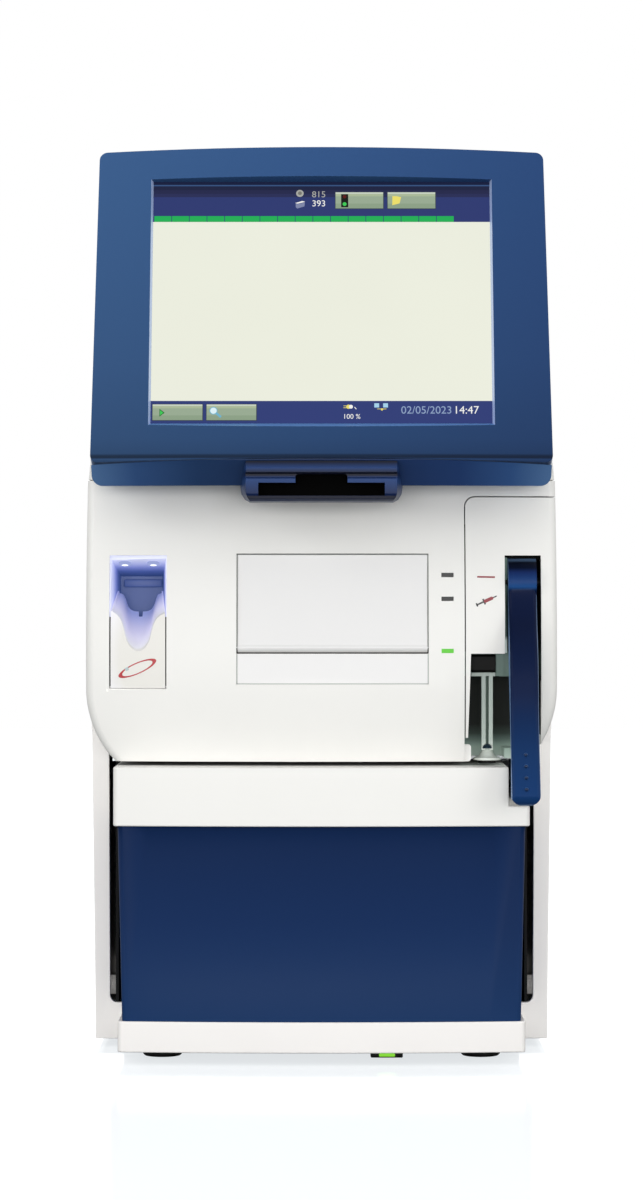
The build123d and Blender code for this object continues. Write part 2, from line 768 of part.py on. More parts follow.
def lens(z):
    """Status light lens: a flush bar with a flange behind the cover."""
    y = belly_y_at(z) + bow_drop(lens_x, front_bow)
    flange_y = y + wall + 0.8
    return lens_bar(z, y + 0.2, flange_y) + lens_bar(z, flange_y, flange_y + lens_flange, lens_flange)


def status_lenses():
    """The two dark lenses."""
    return Compound([lens(lip_z + rise) for rise in lens_rises])


# ------------------------------------------------------------------ sample mixer
def ceiling_z(y):
    """Height of the recess's sloping ceiling."""
    front_y = belly_y_at(mixer_top_z)
    return mixer_top_z - ceiling_drop * (y - front_y) / (mixer_back_y - front_y)


def mixer_housing():
    """Lit recess behind the front cover: side walls, sloping ceiling, floor and back."""
    front_y, back_y = belly_y - 10, mixer_back_y - 2 * thin_wall
    outer = block(mixer_left - thin_wall, mixer_right + thin_wall, front_y, mixer_back_y,
                  mixer_z - thin_wall, mixer_top_z + thin_wall)
    inner = prism_x(
        [(front_y - 1, mixer_z), (back_y, mixer_z), (back_y, ceiling_z(back_y)), (front_y - 1, ceiling_z(front_y - 1))],
        mixer_left, mixer_right,
    )
    bore = rod(mixer_left - 2 * thin_wall, cradle_pivot_y, mixer_z + cradle_pivot_rise,
               mixer_shaft_radius + pin_gap, mixer_width + 4 * thin_wall, "X")
    return (outer & belly_block(wall + 0.2)) - inner - bore


def mixer_lamps():
    """Two round lamps in the ceiling."""
    slope = degrees(atan2(ceiling_drop, mixer_back_y - belly_y_at(mixer_top_z)))
    disc = Rot(-slope, 0, 0) * Pos(0, 0, -lamp_thickness / 2) * Cylinder(lamp_radius, lamp_thickness)
    return Compound([
        Pos(mixer_x + side * lamp_spacing / 2, lamp_y, ceiling_z(lamp_y)) * disc for side in (-1, 1)
    ])


def funnel_section(y, half, bottom_rise, top_rise):
    """Bell-shaped section of the cradle's funnel, open above its flanks."""
    bottom, top = mixer_z + bottom_rise, mixer_z + top_rise
    flank = [(1.0, 0.0), *funnel_curve]
    right = [(mixer_x + half * share, top - (top - bottom) * depth) for share, depth in flank]
    left = [(2 * mixer_x - x, z) for x, z in right]
    high = mixer_top_z
    bell = Spline(*left, (mixer_x, bottom), *right[::-1])
    frame = Polyline(right[0], (right[0][0], high), (left[0][0], high), left[0])
    return Plane(origin=(0, y, 0), x_dir=(1, 0, 0), z_dir=(0, -1, 0)) * make_face([bell] + list(frame.edges()))


def mixer_cradle():
    """Rocking cradle: a front plate whose bell-shaped mouth runs back and up as a funnel."""
    half = mixer_width / 2 - cradle_gap
    z0 = mixer_z + cradle_gap
    pivot_z = mixer_z + cradle_pivot_rise
    plate_top, horn_z = mixer_z + cradle_plate_height, mixer_z + horn_rise
    mouth_y = belly_y_at(plate_top) + 2
    side = prism_x(
        [(belly_y - 10, z0), (belly_y - 10, plate_top), (mouth_y, plate_top), (horn_y, horn_z),
         (cradle_back_y, horn_z - 2), (cradle_back_y, pivot_z - 4), (cradle_pivot_y - 4, z0)],
        mixer_x - half, mixer_x + half,
    )
    rear_half = funnel_back_half + thin_wall
    plan = Polyline((mixer_x - half, belly_y - 11), (mixer_x + half, belly_y - 11), (mixer_x + half, mouth_y + 2),
                    (mixer_x + rear_half, cradle_back_y), (mixer_x - rear_half, cradle_back_y),
                    (mixer_x - half, mouth_y + 2), close=True)
    body = side & extrude(Plane.XY.offset(z0) * make_face(plan), amount=mixer_height) & belly_block(0.5)
    mouth = funnel_section(mouth_y, half - 0.8, funnel_rise, cradle_plate_height)
    rear = funnel_section(cradle_back_y + 1, funnel_back_half, funnel_back_rise, horn_rise)
    funnel = loft([mouth, rear]) + extrude(mouth, amount=mouth_y - belly_y + 12)
    notch_top = mixer_z + funnel_back_rise
    notch = block(mixer_x - rear_notch_width / 2, mixer_x + rear_notch_width / 2, cradle_back_y - 4,
                  cradle_back_y + 1, notch_top - rear_notch_depth, notch_top + 3)
    shaft = rod(mixer_x - half - 1, cradle_pivot_y, pivot_z, mixer_shaft_radius, 2 * half + 2, "X")
    return body - funnel - notch - shaft


def mixer_shaft():
    """Steel shaft through the cradle, driven by the motor at its right end."""
    x0 = mixer_left - thin_wall + 0.2
    return rod(x0, cradle_pivot_y, mixer_z + cradle_pivot_rise, mixer_shaft_radius,
               mixer_width + 2 * thin_wall + motor_coupling, "X")


def mixer_motor():
    """Motor on the recess's right wall."""
    z = mixer_z + cradle_pivot_rise
    x0 = mixer_right + thin_wall
    motor = rod(x0, cradle_pivot_y, z, mixer_motor_radius, mixer_motor_length, "X")
    return motor - rod(x0 - 1, cradle_pivot_y, z, mixer_shaft_radius + pin_gap, motor_coupling + 1.5, "X")


# ------------------------------------------------------------------ sample inlet
def lever_outline():
    """Side view of the lever's blade: a long face that kicks out at the tip."""
    front_tip_y = pack_front_y - lever_tip_out
    back_tip_y = front_tip_y + lever_tip_thickness
    top = (lever_pivot_y - hub_radius + 0.6, lever_z - 3)
    knee = (belly_y - 14, lip_z + 22)
    round_z = tip_z + 5
    front = Spline(top, (belly_y - 7, lip_z + 55), knee, (front_tip_y, round_z), tangents=((-0.1, -1), (-0.25, -1)))
    tip = ThreePointArc((front_tip_y, round_z), ((front_tip_y + back_tip_y) / 2, tip_z), (back_tip_y, round_z))
    back = Polyline((back_tip_y, round_z), (pack_front_y - 2.5, pack_top_z + 4), (belly_y + 4, lip_z + 45),
                    (lever_pivot_y + 3, lever_z - 6), top)
    return make_face([front, tip] + list(back.edges()))


def inlet_handle():
    """Blue lever: hub on its pin and a long blade in front of the cap."""
    half = lever_width / 2
    x = lever_x + lever_offset
    blade = prism_x(lever_outline(), x - half, x + half)
    sides = blade.edges().filter_by(lambda e: abs(abs(e.center().X - x) - half) < 0.01)
    long_front = sides.sort_by(lambda e: -e.length)[0:2]
    blade = fillet(long_front, 2.5)
    view = block(x - half, x + half, pack_front_y - 2 * lever_tip_out, lever_pivot_y + hub_radius,
                 tip_z, lever_z + hub_radius)
    blade = blade & fillet(view.edges().filter_by(Axis.Y).group_by(Axis.Z)[0], lever_tip_corner)
    hub_half = lever_slot_width / 2 - drop_gap
    hub = rod(lever_x - hub_half, lever_pivot_y, lever_z, hub_radius, 2 * hub_half, "X")
    hub = fillet(hub.edges(), 1.5)
    return blade + hub - rod(lever_x - 20, lever_pivot_y, lever_z, lever_pin_radius + pin_gap, 40, "X")


def cheeks():
    """Left edge, thickness and height of the inlet bracket's three cheeks."""
    x = arm_x + arm_block_offset
    left = x - arm_block_width / 2 - 2.4 - drop_gap
    middle = x + arm_block_width / 2 + drop_gap
    middle_width = slot_left - 0.3 - middle
    return (left, 2.4, arm_z), (middle, middle_width, lever_z), (slot_right + drop_gap, 3.0, lever_z)


def inlet_bracket():
    """Moulded bracket on the shelf whose cheeks hold the lever's pin and the arm's pin."""
    right = slot_right + drop_gap + 3.0
    left = cheeks()[0][0]
    bracket = block(left, right - 8, bracket_back_y - thin_wall * 2, bracket_back_y, shelf_top_z, lever_z + 14)
    bracket += block(left, right, bracket_back_y - thin_wall * 2, bracket_back_y, lip_z + 40, lever_z + 14)
    for x, width, top in cheeks():
        low = arm_z - 6 if top == arm_z or x < slot_left else lever_z - 12
        bracket += block(x, x + width, lever_pivot_y - 2.9, bracket_back_y, low, top + 4)
    bracket += block(slot_left, slot_left + inlet_boss_width + 1, lever_pivot_y - 6, bracket_back_y - 1,
                     shelf_top_z, lip_z + inlet_boss_height - 2)
    x0, length = left - 1, right - left + 2
    bracket -= rod(cheeks()[1][0] - 1, lever_pivot_y, lever_z, lever_pin_radius + pin_gap, length, "X")
    return bracket - rod(x0, lever_pivot_y, arm_z, arm_pin_radius + pin_gap, slot_left - x0, "X")


def handle_pin():
    """Steel pin of the lever."""
    x0 = cheeks()[1][0] + 0.2
    return rod(x0, lever_pivot_y, lever_z, lever_pin_radius, slot_right + drop_gap + 2.8 - x0, "X")


def arm_pin():
    """Steel pin of the swinging arm."""
    x0 = cheeks()[0][0] + 0.2
    return rod(x0, lever_pivot_y, arm_z, arm_pin_radius, slot_left - 0.5 - x0, "X")


def arm_block():
    """Black block that turns on the arm's pin."""
    half, deep = arm_block_width / 2, arm_block_depth / 2
    x, z0 = arm_x + arm_block_offset, arm_z + 5 - arm_block_height
    solid = block(x - half, x + half, lever_pivot_y - deep, lever_pivot_y + deep, z0, arm_z + 5)
    solid = fillet(solid.edges().filter_by(Axis.X), 1.5)
    return solid - rod(x - half - 1, lever_pivot_y, arm_z, arm_pin_radius + pin_gap, 2 * half + 2, "X")


def arm_column():
    """Two pale rails under a cross head, beside the probe, standing on a flared collar."""
    top = arm_z + 5 - arm_block_height
    y0 = lever_pivot_y - rail_depth / 2
    neck_z = collar_z + collar_height
    rim = (collar_radius, collar_z + collar_rim)
    flare = Spline(rim, (collar_neck, neck_z), tangents=((-1, 0.2), (0, 1)))
    rest = Polyline((collar_neck, neck_z), (0, neck_z), (0, collar_z), (collar_radius, collar_z), rim)
    column = Pos(arm_x, lever_pivot_y, 0) * revolve(Plane.XZ * make_face([flare] + list(rest.edges())), Axis.Z)
    head_x, half = arm_x + arm_block_offset, arm_block_width / 2
    column += block(head_x - half, head_x + half, y0, y0 + rail_depth, top - rail_head_height, top)
    for x in (arm_x - rail_slot / 2 - rail_width, arm_x + rail_slot / 2):
        column += block(x, x + rail_width, y0, y0 + rail_depth, neck_z - 1, top)
    return column


def arm_gasket():
    """Rubber disc that a sampler is pressed against."""
    disc = rod(arm_x, lever_pivot_y, gasket_z, gasket_radius, gasket_height, "Z")
    return disc - rod(arm_x, lever_pivot_y, gasket_z - 1, probe_radius, gasket_height * 0.7, "Z")


def inlet_probe():
    """Steel tube between the arm's rails."""
    z0 = collar_z + collar_height
    top = arm_z + 5 - arm_block_height - rail_head_height
    tube = rod(arm_x, lever_pivot_y, z0, probe_radius, top - z0, "Z")
    return tube - rod(arm_x, lever_pivot_y, z0 + 2, probe_radius / 2, arm_z, "Z")


# ------------------------------------------------------------------ display head
tilt = radians(head_tilt)
face_plane = Plane(origin=(0, crease_y, crease_z), x_dir=(1, 0, 0), z_dir=(0, -cos(tilt), sin(tilt)))


def face_point(rise, out):
    """(y, z) of a point on the centre line, given along the head's face and outwards from it."""
    return crease_y + rise * sin(tilt) - out * cos(tilt), crease_z + rise * cos(tilt) + out * sin(tilt)


def face_outline(inset, low, high):
    """The head's outline on its face, from one rise to another."""
    def half(rise):
        return head_width / 2 - head_top_narrowing / 2 * rise / face_height - inset
    return [(-half(low), low), (half(low), low), (half(high), high), (-half(high), high)]


def face_prism(outline, out_low, out_high):
    """Solid of an outline on the head's face between two distances from it."""
    return extrude(face_plane.offset(out_low) * make_face(Polyline(*outline, close=True)),
                   amount=out_high - out_low)


def face_bar(inset):
    """Round bar along the head's face that bows it."""
    radius = face_bow - inset
    y, z = face_point(face_height / 2, -face_bow)
    return Pos(0, y, z) * Rot(-head_tilt, 0, 0) * Cylinder(radius, 2 * face_height)


def screen_outline(grow):
    """The screen opening on the head's face, grown all round."""
    half = screen_width / 2 + grow
    return [(-half, screen_rise - grow), (half, screen_rise - grow),
            (half, screen_rise + screen_height + grow), (-half, screen_rise + screen_height + grow)]


def head_bezel():
    """Bowed blue front frame with a sunk rim round the screen."""
    outer = face_prism(face_outline(0, 0, face_height), -bezel_depth, 1) & face_bar(0)
    along = outer.edges().filter_by(lambda e: abs(e.center().X) > head_width / 2 - 10 and e.length < bezel_depth)
    outer = fillet(along, head_corner)
    inner = face_prism(face_outline(bezel_wall, bezel_wall, face_height - bezel_wall), -bezel_depth - 1, 1)
    bezel = outer - (inner & face_bar(bezel_wall))
    rim = face_prism(screen_outline(screen_rim + glass_margin), -screen_recess, 1) & face_bar(0)
    bezel += rim
    return bezel - face_prism(screen_outline(0), -bezel_depth, 2)


def over_plane(low):
    """Everything on the head's side of its lower edge, from a rise upwards."""
    wide = head_width
    return face_prism([(-wide, low), (wide, low), (wide, face_height), (-wide, face_height)],
                      -head_depth - 20, 60)


def chin():
    """Sloping chin under the bezel, bowed like it, with a lip at its rear and rounded corners."""
    z0, under_z = crease_z - chin_drop, cover_top_z + head_underside
    edge_y, lip_y = crease_y + 1, crease_y + chin_depth
    rear_y = lip_y + chin_lip + 14
    points = [(edge_y, crease_z + 2), (edge_y, crease_z - 1), (lip_y, z0), (lip_y + chin_lip, z0),
              (lip_y + chin_lip + 4, under_z), (rear_y, under_z), (rear_y, crease_z + 2)]
    profile = Plane.YZ * make_face(Polyline(*points, close=True))
    axis = Axis((0, crease_y + face_bow, 0), (0, 0, 1))
    half_turn = degrees(asin((head_width / 2 + 5) / (face_bow - 60)))
    solid = revolve(profile, axis, 2 * half_turn).rotate(axis, -half_turn)
    half = head_width / 2 - 0.4
    solid = solid & rounded_block(-half, half, crease_y - 20, 0, z0, z0 + head_width, chin_corner, Axis.Y)
    return solid - over_plane(0)


def head_back(inset):
    """Solid between the bezel and the top cover."""
    back, top = -head_depth + inset, face_height - inset
    front = -bezel_depth + inset / 3
    under_z = cover_top_z + head_underside + inset
    start_y = face_point(0, -bezel_depth)[0] + inset
    rear_y, rear_z = face_point(0, back)
    slide = (under_z - rear_z) / cos(tilt)
    points = [face_point(inset, front), (start_y, under_z), face_point(slide, back),
              face_point(top - 12, back), face_point(top, back + 18), face_point(top, front)]
    solid = prism_x(points, -head_width, head_width)
    return solid & face_prism(face_outline(0.4 + inset, -60, face_height + 20), -head_depth - 30, 30)


def head_rear_shell():
    """Blue rear shell of the head, with the chin under the bezel."""
    return head_back(0) + chin() - head_back(bezel_wall)


def touch_glass():
    """Glass behind the rim."""
    return face_prism(screen_outline(glass_margin), -screen_recess - glass_thickness, -screen_recess)


def display_module():
    """Display panel in its metal frame behind the glass."""
    back = -screen_recess - glass_thickness
    return face_prism(screen_outline(glass_margin - 1), back - display_thickness, back)


# ------------------------------------------------------------------ barcode reader
def reader_outline():
    """Side view of the reader's housing with its stepped ridges."""
    y, z0 = reader_front_y, reader_bottom_z
    z1 = crease_z - 1.6
    under_z = cover_top_z + head_underside
    return [(y + 3, z0), (y + 0.6, z0 + 1.2), (y + 0.6, z0 + slot_rise), (y, z0 + slot_rise + 1),
            (y, z1 - 8.8), (y + 1.6, z1 - 8.2), (y + 1.6, z1 - 6.4), (y, z1 - 5.8), (y, z1 - 3.4), (y + 3, z1),
            (y + reader_depth, z1), (y + reader_depth, under_z), (y + reader_depth, z0 + 4), (y + reader_depth - 6, z0)]


def reader_slot():
    """The scan slot with its raised middle."""
    z = reader_bottom_z + slot_rise
    y1 = reader_front_y + reader_depth - reader_module_depth
    low = block(-slot_width / 2, slot_width / 2, reader_front_y - 1, y1, z, z + slot_height)
    high = block(-hump_width / 2, hump_width / 2, reader_front_y - 1, y1, z, z + slot_height + hump_height)
    return low + fillet(high.edges().filter_by(Axis.Y).group_by(Axis.Z)[-1], 1.5)


def reader_housing():
    """Blue housing under the chin."""
    half = reader_width / 2
    housing = prism_x(reader_outline(), -half, half)
    housing = housing - chin() - head_back(0) - over_plane(0) - reader_slot()
    z = reader_bottom_z + slot_rise
    y1 = reader_front_y + reader_depth - reader_module_depth
    pocket = slot_width / 2 - 2
    return housing - block(-pocket, pocket, y1 - 1, y1 + 20, z, z + reader_module_height + drop_gap)


def reader_module():
    """Scan module whose dark window closes the slot's depth."""
    z = reader_bottom_z + slot_rise
    y1 = reader_front_y + reader_depth - reader_module_depth
    half = slot_width / 2 - 2 - drop_gap
    return block(-half, half, y1, y1 + reader_module_depth - 1, z, z + reader_module_height)


# ------------------------------------------------------------------ top cover and printer
top_z = cover_top_z + top_height
tray_rear_y = tray_front_y + tray_length
tray_half = paper_width / 2 + 13
roll_z = top_z - tray_depth + 3 + paper_radius + 5
roll_y = tray_front_y + tray_length - paper_radius - 6
platen_y = tray_front_y + 10
platen_z = top_z - platen_radius - 3
lid_y = tray_rear_y - 4
lid_hinge_radius = 2.4
lid_hinge_z = top_z + 2 + lid_hinge_radius + drop_gap


def top_profile(inset):
    """Side view of the top cover; its front lies on the back of the head."""
    back = -head_depth
    base_z = cover_top_z + 0.6 - (1 if inset else 0)
    low = face_point((base_z - face_point(0, back)[1]) / cos(tilt), back)
    high = face_point((top_z - inset - face_point(0, back)[1]) / cos(tilt), back)
    flat_y = high[0] + top_flat
    lean = inset / cos(tilt)
    return [(low[0] + lean, base_z), (high[0] + lean, top_z - inset), (flat_y, top_z - inset),
            (rear_face_y - inset, cover_top_z + rear_corner_rise), (rear_face_y - inset, base_z)]


def top_block(inset):
    """Solid under the top cover, narrowing upwards."""
    low, high = body_half - inset, body_half - top_narrowing - inset
    solid = prism_x(top_profile(inset), -body_half, body_half)
    base_z = cover_top_z - 1
    sides = prism_y([(-low, base_z), (low, base_z), (high, top_z + 1), (-high, top_z + 1)], -200, 200)
    return solid & sides


def grip_box(grow):
    """The carrying grip's pocket in the rear slope."""
    half = grip_width / 2 + grow
    z = cover_top_z + 12 - grow
    return block(-half, half, rear_face_y - grip_depth - grow, rear_face_y + 1, z, z + grip_height + 2 * grow)


def top_cover():
    """White top with the printer's opening, the button's hole and the carrying grip."""
    outer = top_block(0)
    ridge = outer.edges().filter_by(lambda e: abs(e.center().X) > 20 and e.center().Z > cover_top_z + 20)
    outer = fillet(ridge, cover_edge_radius)
    cover = outer - top_block(wall)
    cover += (grip_box(wall) & outer) - grip_box(0)
    cover -= grip_box(0)
    hole = tray_half + drop_gap
    cover -= block(-hole, hole, tray_front_y - drop_gap, tray_rear_y + drop_gap, top_z - wall - 10, top_z + 1)
    button_x, button_y = button_place()
    cover -= rod(button_x, button_y, top_z - wall - 5, button_radius + drop_gap, wall + 10, "Z")
    return cover


def printer_tray():
    """Drop-in tray that hangs on the top cover by its flange, with bores for roll and platen."""
    z0 = top_z - tray_depth
    tray = block(-tray_half, tray_half, tray_front_y, tray_rear_y, z0, top_z + 2)
    flange = flange_overlap + 2
    tray += block(-tray_half - flange, tray_half + flange, tray_front_y - flange, tray_rear_y + flange,
                  top_z, top_z + 2)
    inside = tray_half - 2
    tray -= block(-inside, inside, tray_front_y + 2, tray_rear_y - 2, z0 + 2, top_z + 3)
    web = paper_width / 2 + 4
    for side in (-1, 1):
        x0, x1 = sorted((side * web, side * inside))
        tray += block(x0, x1, platen_y - 6, roll_y + 8, z0 + 2, top_z - 0.5)
    tray -= rod(-web - 4, roll_y, roll_z, spindle_radius + pin_gap, 2 * web + 8, "X")
    tray -= rod(-web - 4, platen_y, platen_z, platen_shaft_radius + pin_gap, 2 * web + 8, "X")
    for side in (-1, 1):
        x = side * (tray_half + 3)
        knuckle = block(x - 2, x + 2, lid_y - lid_hinge_radius, lid_y + lid_hinge_radius, top_z + 2, lid_hinge_z)
        knuckle += rod(x - 2, lid_y, lid_hinge_z, lid_hinge_radius, 4, "X")
        tray += knuckle
    return tray - rod(-tray_half - 8, lid_y, lid_hinge_z, lid_pin_radius + pin_gap, 2 * tray_half + 16, "X")


def printer_lid():
    """Lid over the paper roll with trunnions at its rear edge; paper leaves at its front edge."""
    half = tray_half + 0.6
    z0 = top_z + 2 + drop_gap
    lid = block(-half, half, platen_y + platen_radius + exit_gap, lid_y, z0, z0 + lid_thickness)
    lid += rod(-half, lid_y, lid_hinge_z, lid_hinge_radius, 2 * half, "X")
    return lid + rod(-half - 4.2, lid_y, lid_hinge_z, lid_pin_radius, 2 * half + 8.4, "X")


def paper_roll():
    """Paper on its spindle."""
    half = paper_width / 2
    paper = rod(-half, roll_y, roll_z, paper_radius, paper_width, "X")
    web = paper_width / 2 + 4
    return paper + rod(-web - 3.5, roll_y, roll_z, spindle_radius, 2 * web + 7, "X")


def platen_roller():
    """Rubber roller on its shaft."""
    half = paper_width / 2
    roller = rod(-half, platen_y, platen_z, platen_radius, paper_width, "X")
    web = paper_width / 2 + 4
    return roller + rod(-web - 3.5, platen_y, platen_z, platen_shaft_radius, 2 * web + 7, "X")


def button_place():
    """Centre of the lid's release button."""
    return tray_half + 26, tray_front_y + 30


def release_button():
    """Round button that opens the printer's lid, kept by a collar under the cover."""
    x, y = button_place()
    z0 = top_z - wall - drop_gap - button_collar
    button = rod(x, y, z0, button_radius, top_z + button_height - z0, "Z")
    button = fillet(button.edges().group_by(Axis.Z)[-1], 1)
    return button + rod(x, y, z0, button_radius + 1.5, button_collar, "Z")


# ------------------------------------------------------------------ rear fittings
def fan_frame():
    """Square frame with struts that hold the motor's hub."""
    z = fan_z
    half = fan_size / 2
    y0 = bulkhead_y + sheet
    frame = block(fan_x - half, fan_x + half, y0, y0 + fan_depth, z - half, z + half)
    frame = fillet(frame.edges().filter_by(Axis.Y), 4)
    frame -= rod(fan_x, y0 - 1, z, half - 2, fan_depth + 2, "Y")
    frame += rod(fan_x, y0, z, fan_hub_radius, 3, "Y")
    frame += block(fan_x - half + 1, fan_x + half - 1, y0, y0 + 2, z - 2, z + 2)
    frame += block(fan_x - 2, fan_x + 2, y0, y0 + 2, z - half + 1, z + half - 1)
    return frame - rod(fan_x, y0 - 1, z, fan_shaft_radius + pin_gap, 5, "Y")


def fan_rotor():
    """Hub with pitched blades and a shaft."""
    z = fan_z
    y0 = bulkhead_y + sheet + 3.3
    depth = fan_depth - 4.3
    rotor = rod(fan_x, y0, z, fan_hub_radius, depth, "Y")
    blade = Rot(0, 0, 35) * Box(1.2, depth - 1, fan_size / 2 - 4 - fan_hub_radius + 2)
    reach = (fan_size / 2 - 4 + fan_hub_radius - 2) / 2
    blades = [
        Pos(fan_x, y0 + depth / 2, z) * Rot(0, 360 * i / fan_blade_count, 0) * Pos(0, 0, reach) * blade
        for i in range(fan_blade_count)
    ]
    for one in blades:
        rotor += one
    return rotor + rod(fan_x, y0 - 3, z, fan_shaft_radius, 3.5, "Y")


def socket_block(x, width, height, flange):
    """Body of a rear socket from the bulkhead out through the cover, with a flange outside."""
    z0, z1 = rear_row_z - height / 2, rear_row_z + height / 2
    body = block(x - width / 2, x + width / 2, bulkhead_y + sheet, rear_face_y, z0, z1)
    if flange:
        body += block(x - width / 2 - 1, x + width / 2 + 1, rear_face_y, rear_face_y + flange, z0 - 1, z1 + 1)
    return body


def cavity(x, width, height, mouth_y, depth):
    """Open space cut into a rear socket from its mouth."""
    return block(x - width / 2, x + width / 2, mouth_y - depth, mouth_y + 1,
                 rear_row_z - height / 2, rear_row_z + height / 2)


def module_sides():
    """Left and right of the module that holds the mains socket and the switch."""
    return inlet_socket_x - inlet_socket_width / 2, switch_x + switch_width / 2 + 3


def power_inlet():
    """Mains inlet with three blades and the pocket of the switch beside it."""
    left, right = module_sides()
    mouth_y = rear_face_y + inlet_flange
    inlet = socket_block((left + right) / 2, right - left, inlet_socket_height, inlet_flange)
    inlet -= cavity(inlet_socket_x, 25, 17, mouth_y, 15)
    inlet -= cavity(switch_x, switch_width, inlet_socket_height - 4, mouth_y, 14)
    inlet -= rod(switch_x - switch_width / 2 - 2, switch_y, rear_row_z, switch_axle_radius + pin_gap,
                 switch_width + 4, "X")
    for dx, dz in ((-7, -2), (0, 3), (7, -2)):
        x, z, y = inlet_socket_x + dx, rear_row_z + dz, mouth_y - 15
        inlet += block(x - 1, x + 1, y - 1, y + 10, z - 2.5, z + 2.5)
    return inlet


def power_switch():
    """Rocker on its axle."""
    y = switch_y
    half = switch_width / 2 - 0.4
    tall = inlet_socket_height / 2 - 2
    front = rear_face_y + 1.4
    outline = [(y + 3, rear_row_z - tall + 1), (front, rear_row_z - tall + 2.6), (front - 1.4, rear_row_z),
               (front, rear_row_z + tall - 2.6), (y + 3, rear_row_z + tall - 1), (y - 3, rear_row_z)]
    rocker = prism_x(outline, switch_x - half, switch_x + half)
    return rocker + rod(switch_x - switch_width / 2 - 1.5, y, rear_row_z, switch_axle_radius,
                        switch_width + 3, "X")


def data_ports():
    """Network and data sockets on the bulkhead."""
    return Compound([
        socket_block(x, width, height, 0) - cavity(x, width - 3, height - 2.4, rear_face_y, 12)
        for x, width, height in port_sizes
    ])


# ------------------------------------------------------------------ inner modules
def tube_places():
    """X of each tube."""
    return [(i - (tube_count - 1) / 2) * tube_pitch - 4 for i in range(tube_count)]


def fluid_manifold():
    """Block that the pack's ports meet, standing on the floor plate."""
    half = port_count * port_pitch / 2 + 4
    z0 = floor_z + sheet
    top = sill_top_z + pack_height / 2 + 20
    manifold = block(-half, half, manifold_y, manifold_y + manifold_depth, z0, top)
    return fillet(manifold.edges().filter_by(Axis.Z), 2)


def fluid_tubes():
    """Tubes from the manifold up through the shelf and forward to the cassette bay."""
    y0, y1 = manifold_y + manifold_depth / 2, bay_front_y + bay_depth
    z0, z1 = sill_top_z + pack_height / 2 + 20, lip_z + 45
    group = []
    for x in tube_places():
        path = FilletPolyline((x, y0, z0), (x, y0, z1), (x, y1, z1), radius=tube_bend)
        start = Plane(origin=(x, y0, z0), x_dir=(1, 0, 0), z_dir=(0, 0, 1))
        group.append(sweep(start * Circle(tube_radius), path=path))
    return Compound(group)


def pump_housing():
    """Peristaltic pump with a round race and its motor behind."""
    x, y0 = pump_x, bay_front_y + bay_depth + 5
    half = pump_width / 2
    housing = block(x - half, x + half, y0, y0 + pump_depth, shelf_top_z, shelf_top_z + pump_height)
    housing = fillet(housing.edges().filter_by(Axis.Y).group_by(Axis.Z)[-1], 8)
    z = shelf_top_z + pump_height / 2
    housing -= rod(x, y0 - 1, z, pump_radius, pump_depth / 2 + 1, "Y")
    housing += rod(x, y0 + pump_depth, z, pump_radius - 2, 22, "Y")
    return housing - rod(x, y0, z, pump_shaft_radius + pin_gap, pump_depth, "Y")


def pump_rotor():
    """Rotor with three lobes on its shaft."""
    x, y0 = pump_x, bay_front_y + bay_depth + 5
    z = shelf_top_z + pump_height / 2
    thick = pump_depth / 2 - 2
    rotor = rod(x, y0 + 1, z, pump_radius * 0.45, thick, "Y")
    for i in range(3):
        lobe = Rot(0, 120 * i, 0) * Pos(0, 0, pump_radius - 5) * Rot(-90, 0, 0) * Cylinder(4, thick)
        arm = Rot(0, 120 * i, 0) * Pos(0, 0, pump_radius / 2 - 2) * Box(5, thick, pump_radius - 6)
        rotor += Pos(x, y0 + 1 + thick / 2, z) * (lobe + arm)
    return rotor + rod(x, y0 + 1, z, pump_shaft_radius, pump_depth - 4, "Y")


def optics_module():
    """Aluminium optics block with cooling fins."""
    width, depth, height = optics_size
    y0 = bay_front_y + bay_depth + 10
    x0 = optics_x - width / 2
    module = block(x0, x0 + width, y0, y0 + depth, shelf_top_z, shelf_top_z + height)
    for i in range(6):
        y = y0 + 4 + i * (depth - 8) / 5
        module -= block(x0 + 3, x0 + width - 3, y - 2, y + 2, shelf_top_z + height - 14, shelf_top_z + height + 1)
    return module


def shelf_box(x, size):
    """Module box on the shelf, against the bulkhead's clearance."""
    width, depth, height = size
    y1 = bulkhead_y - module_rear_gap
    box = block(x - width / 2, x + width / 2, y1 - depth, y1, shelf_top_z, shelf_top_z + height)
    return fillet(box.edges().filter_by(Axis.Z), 2)


def mainboard():
    """Circuit board on standoffs in front of the bulkhead, with its chips."""
    y1 = bulkhead_y - standoff_length
    y0 = y1 - board_thickness
    z0 = lip_z + board_rise
    half = board_width / 2
    board = block(-half, half, y0, y1, z0, z0 + board_height)
    for x in (-half + 6, half - 6):
        for z in (z0 + 6, z0 + board_height - 6):
            board += rod(x, y1, z, 3, standoff_length, "Y")
    for i in range(5):
        x = -half + 24 + i * (board_width - 48) / 4
        board += block(x - 8, x + 8, y0 - 3, y0, z0 + 24, z0 + 24 + 8 + 3 * (i % 3))
    return board


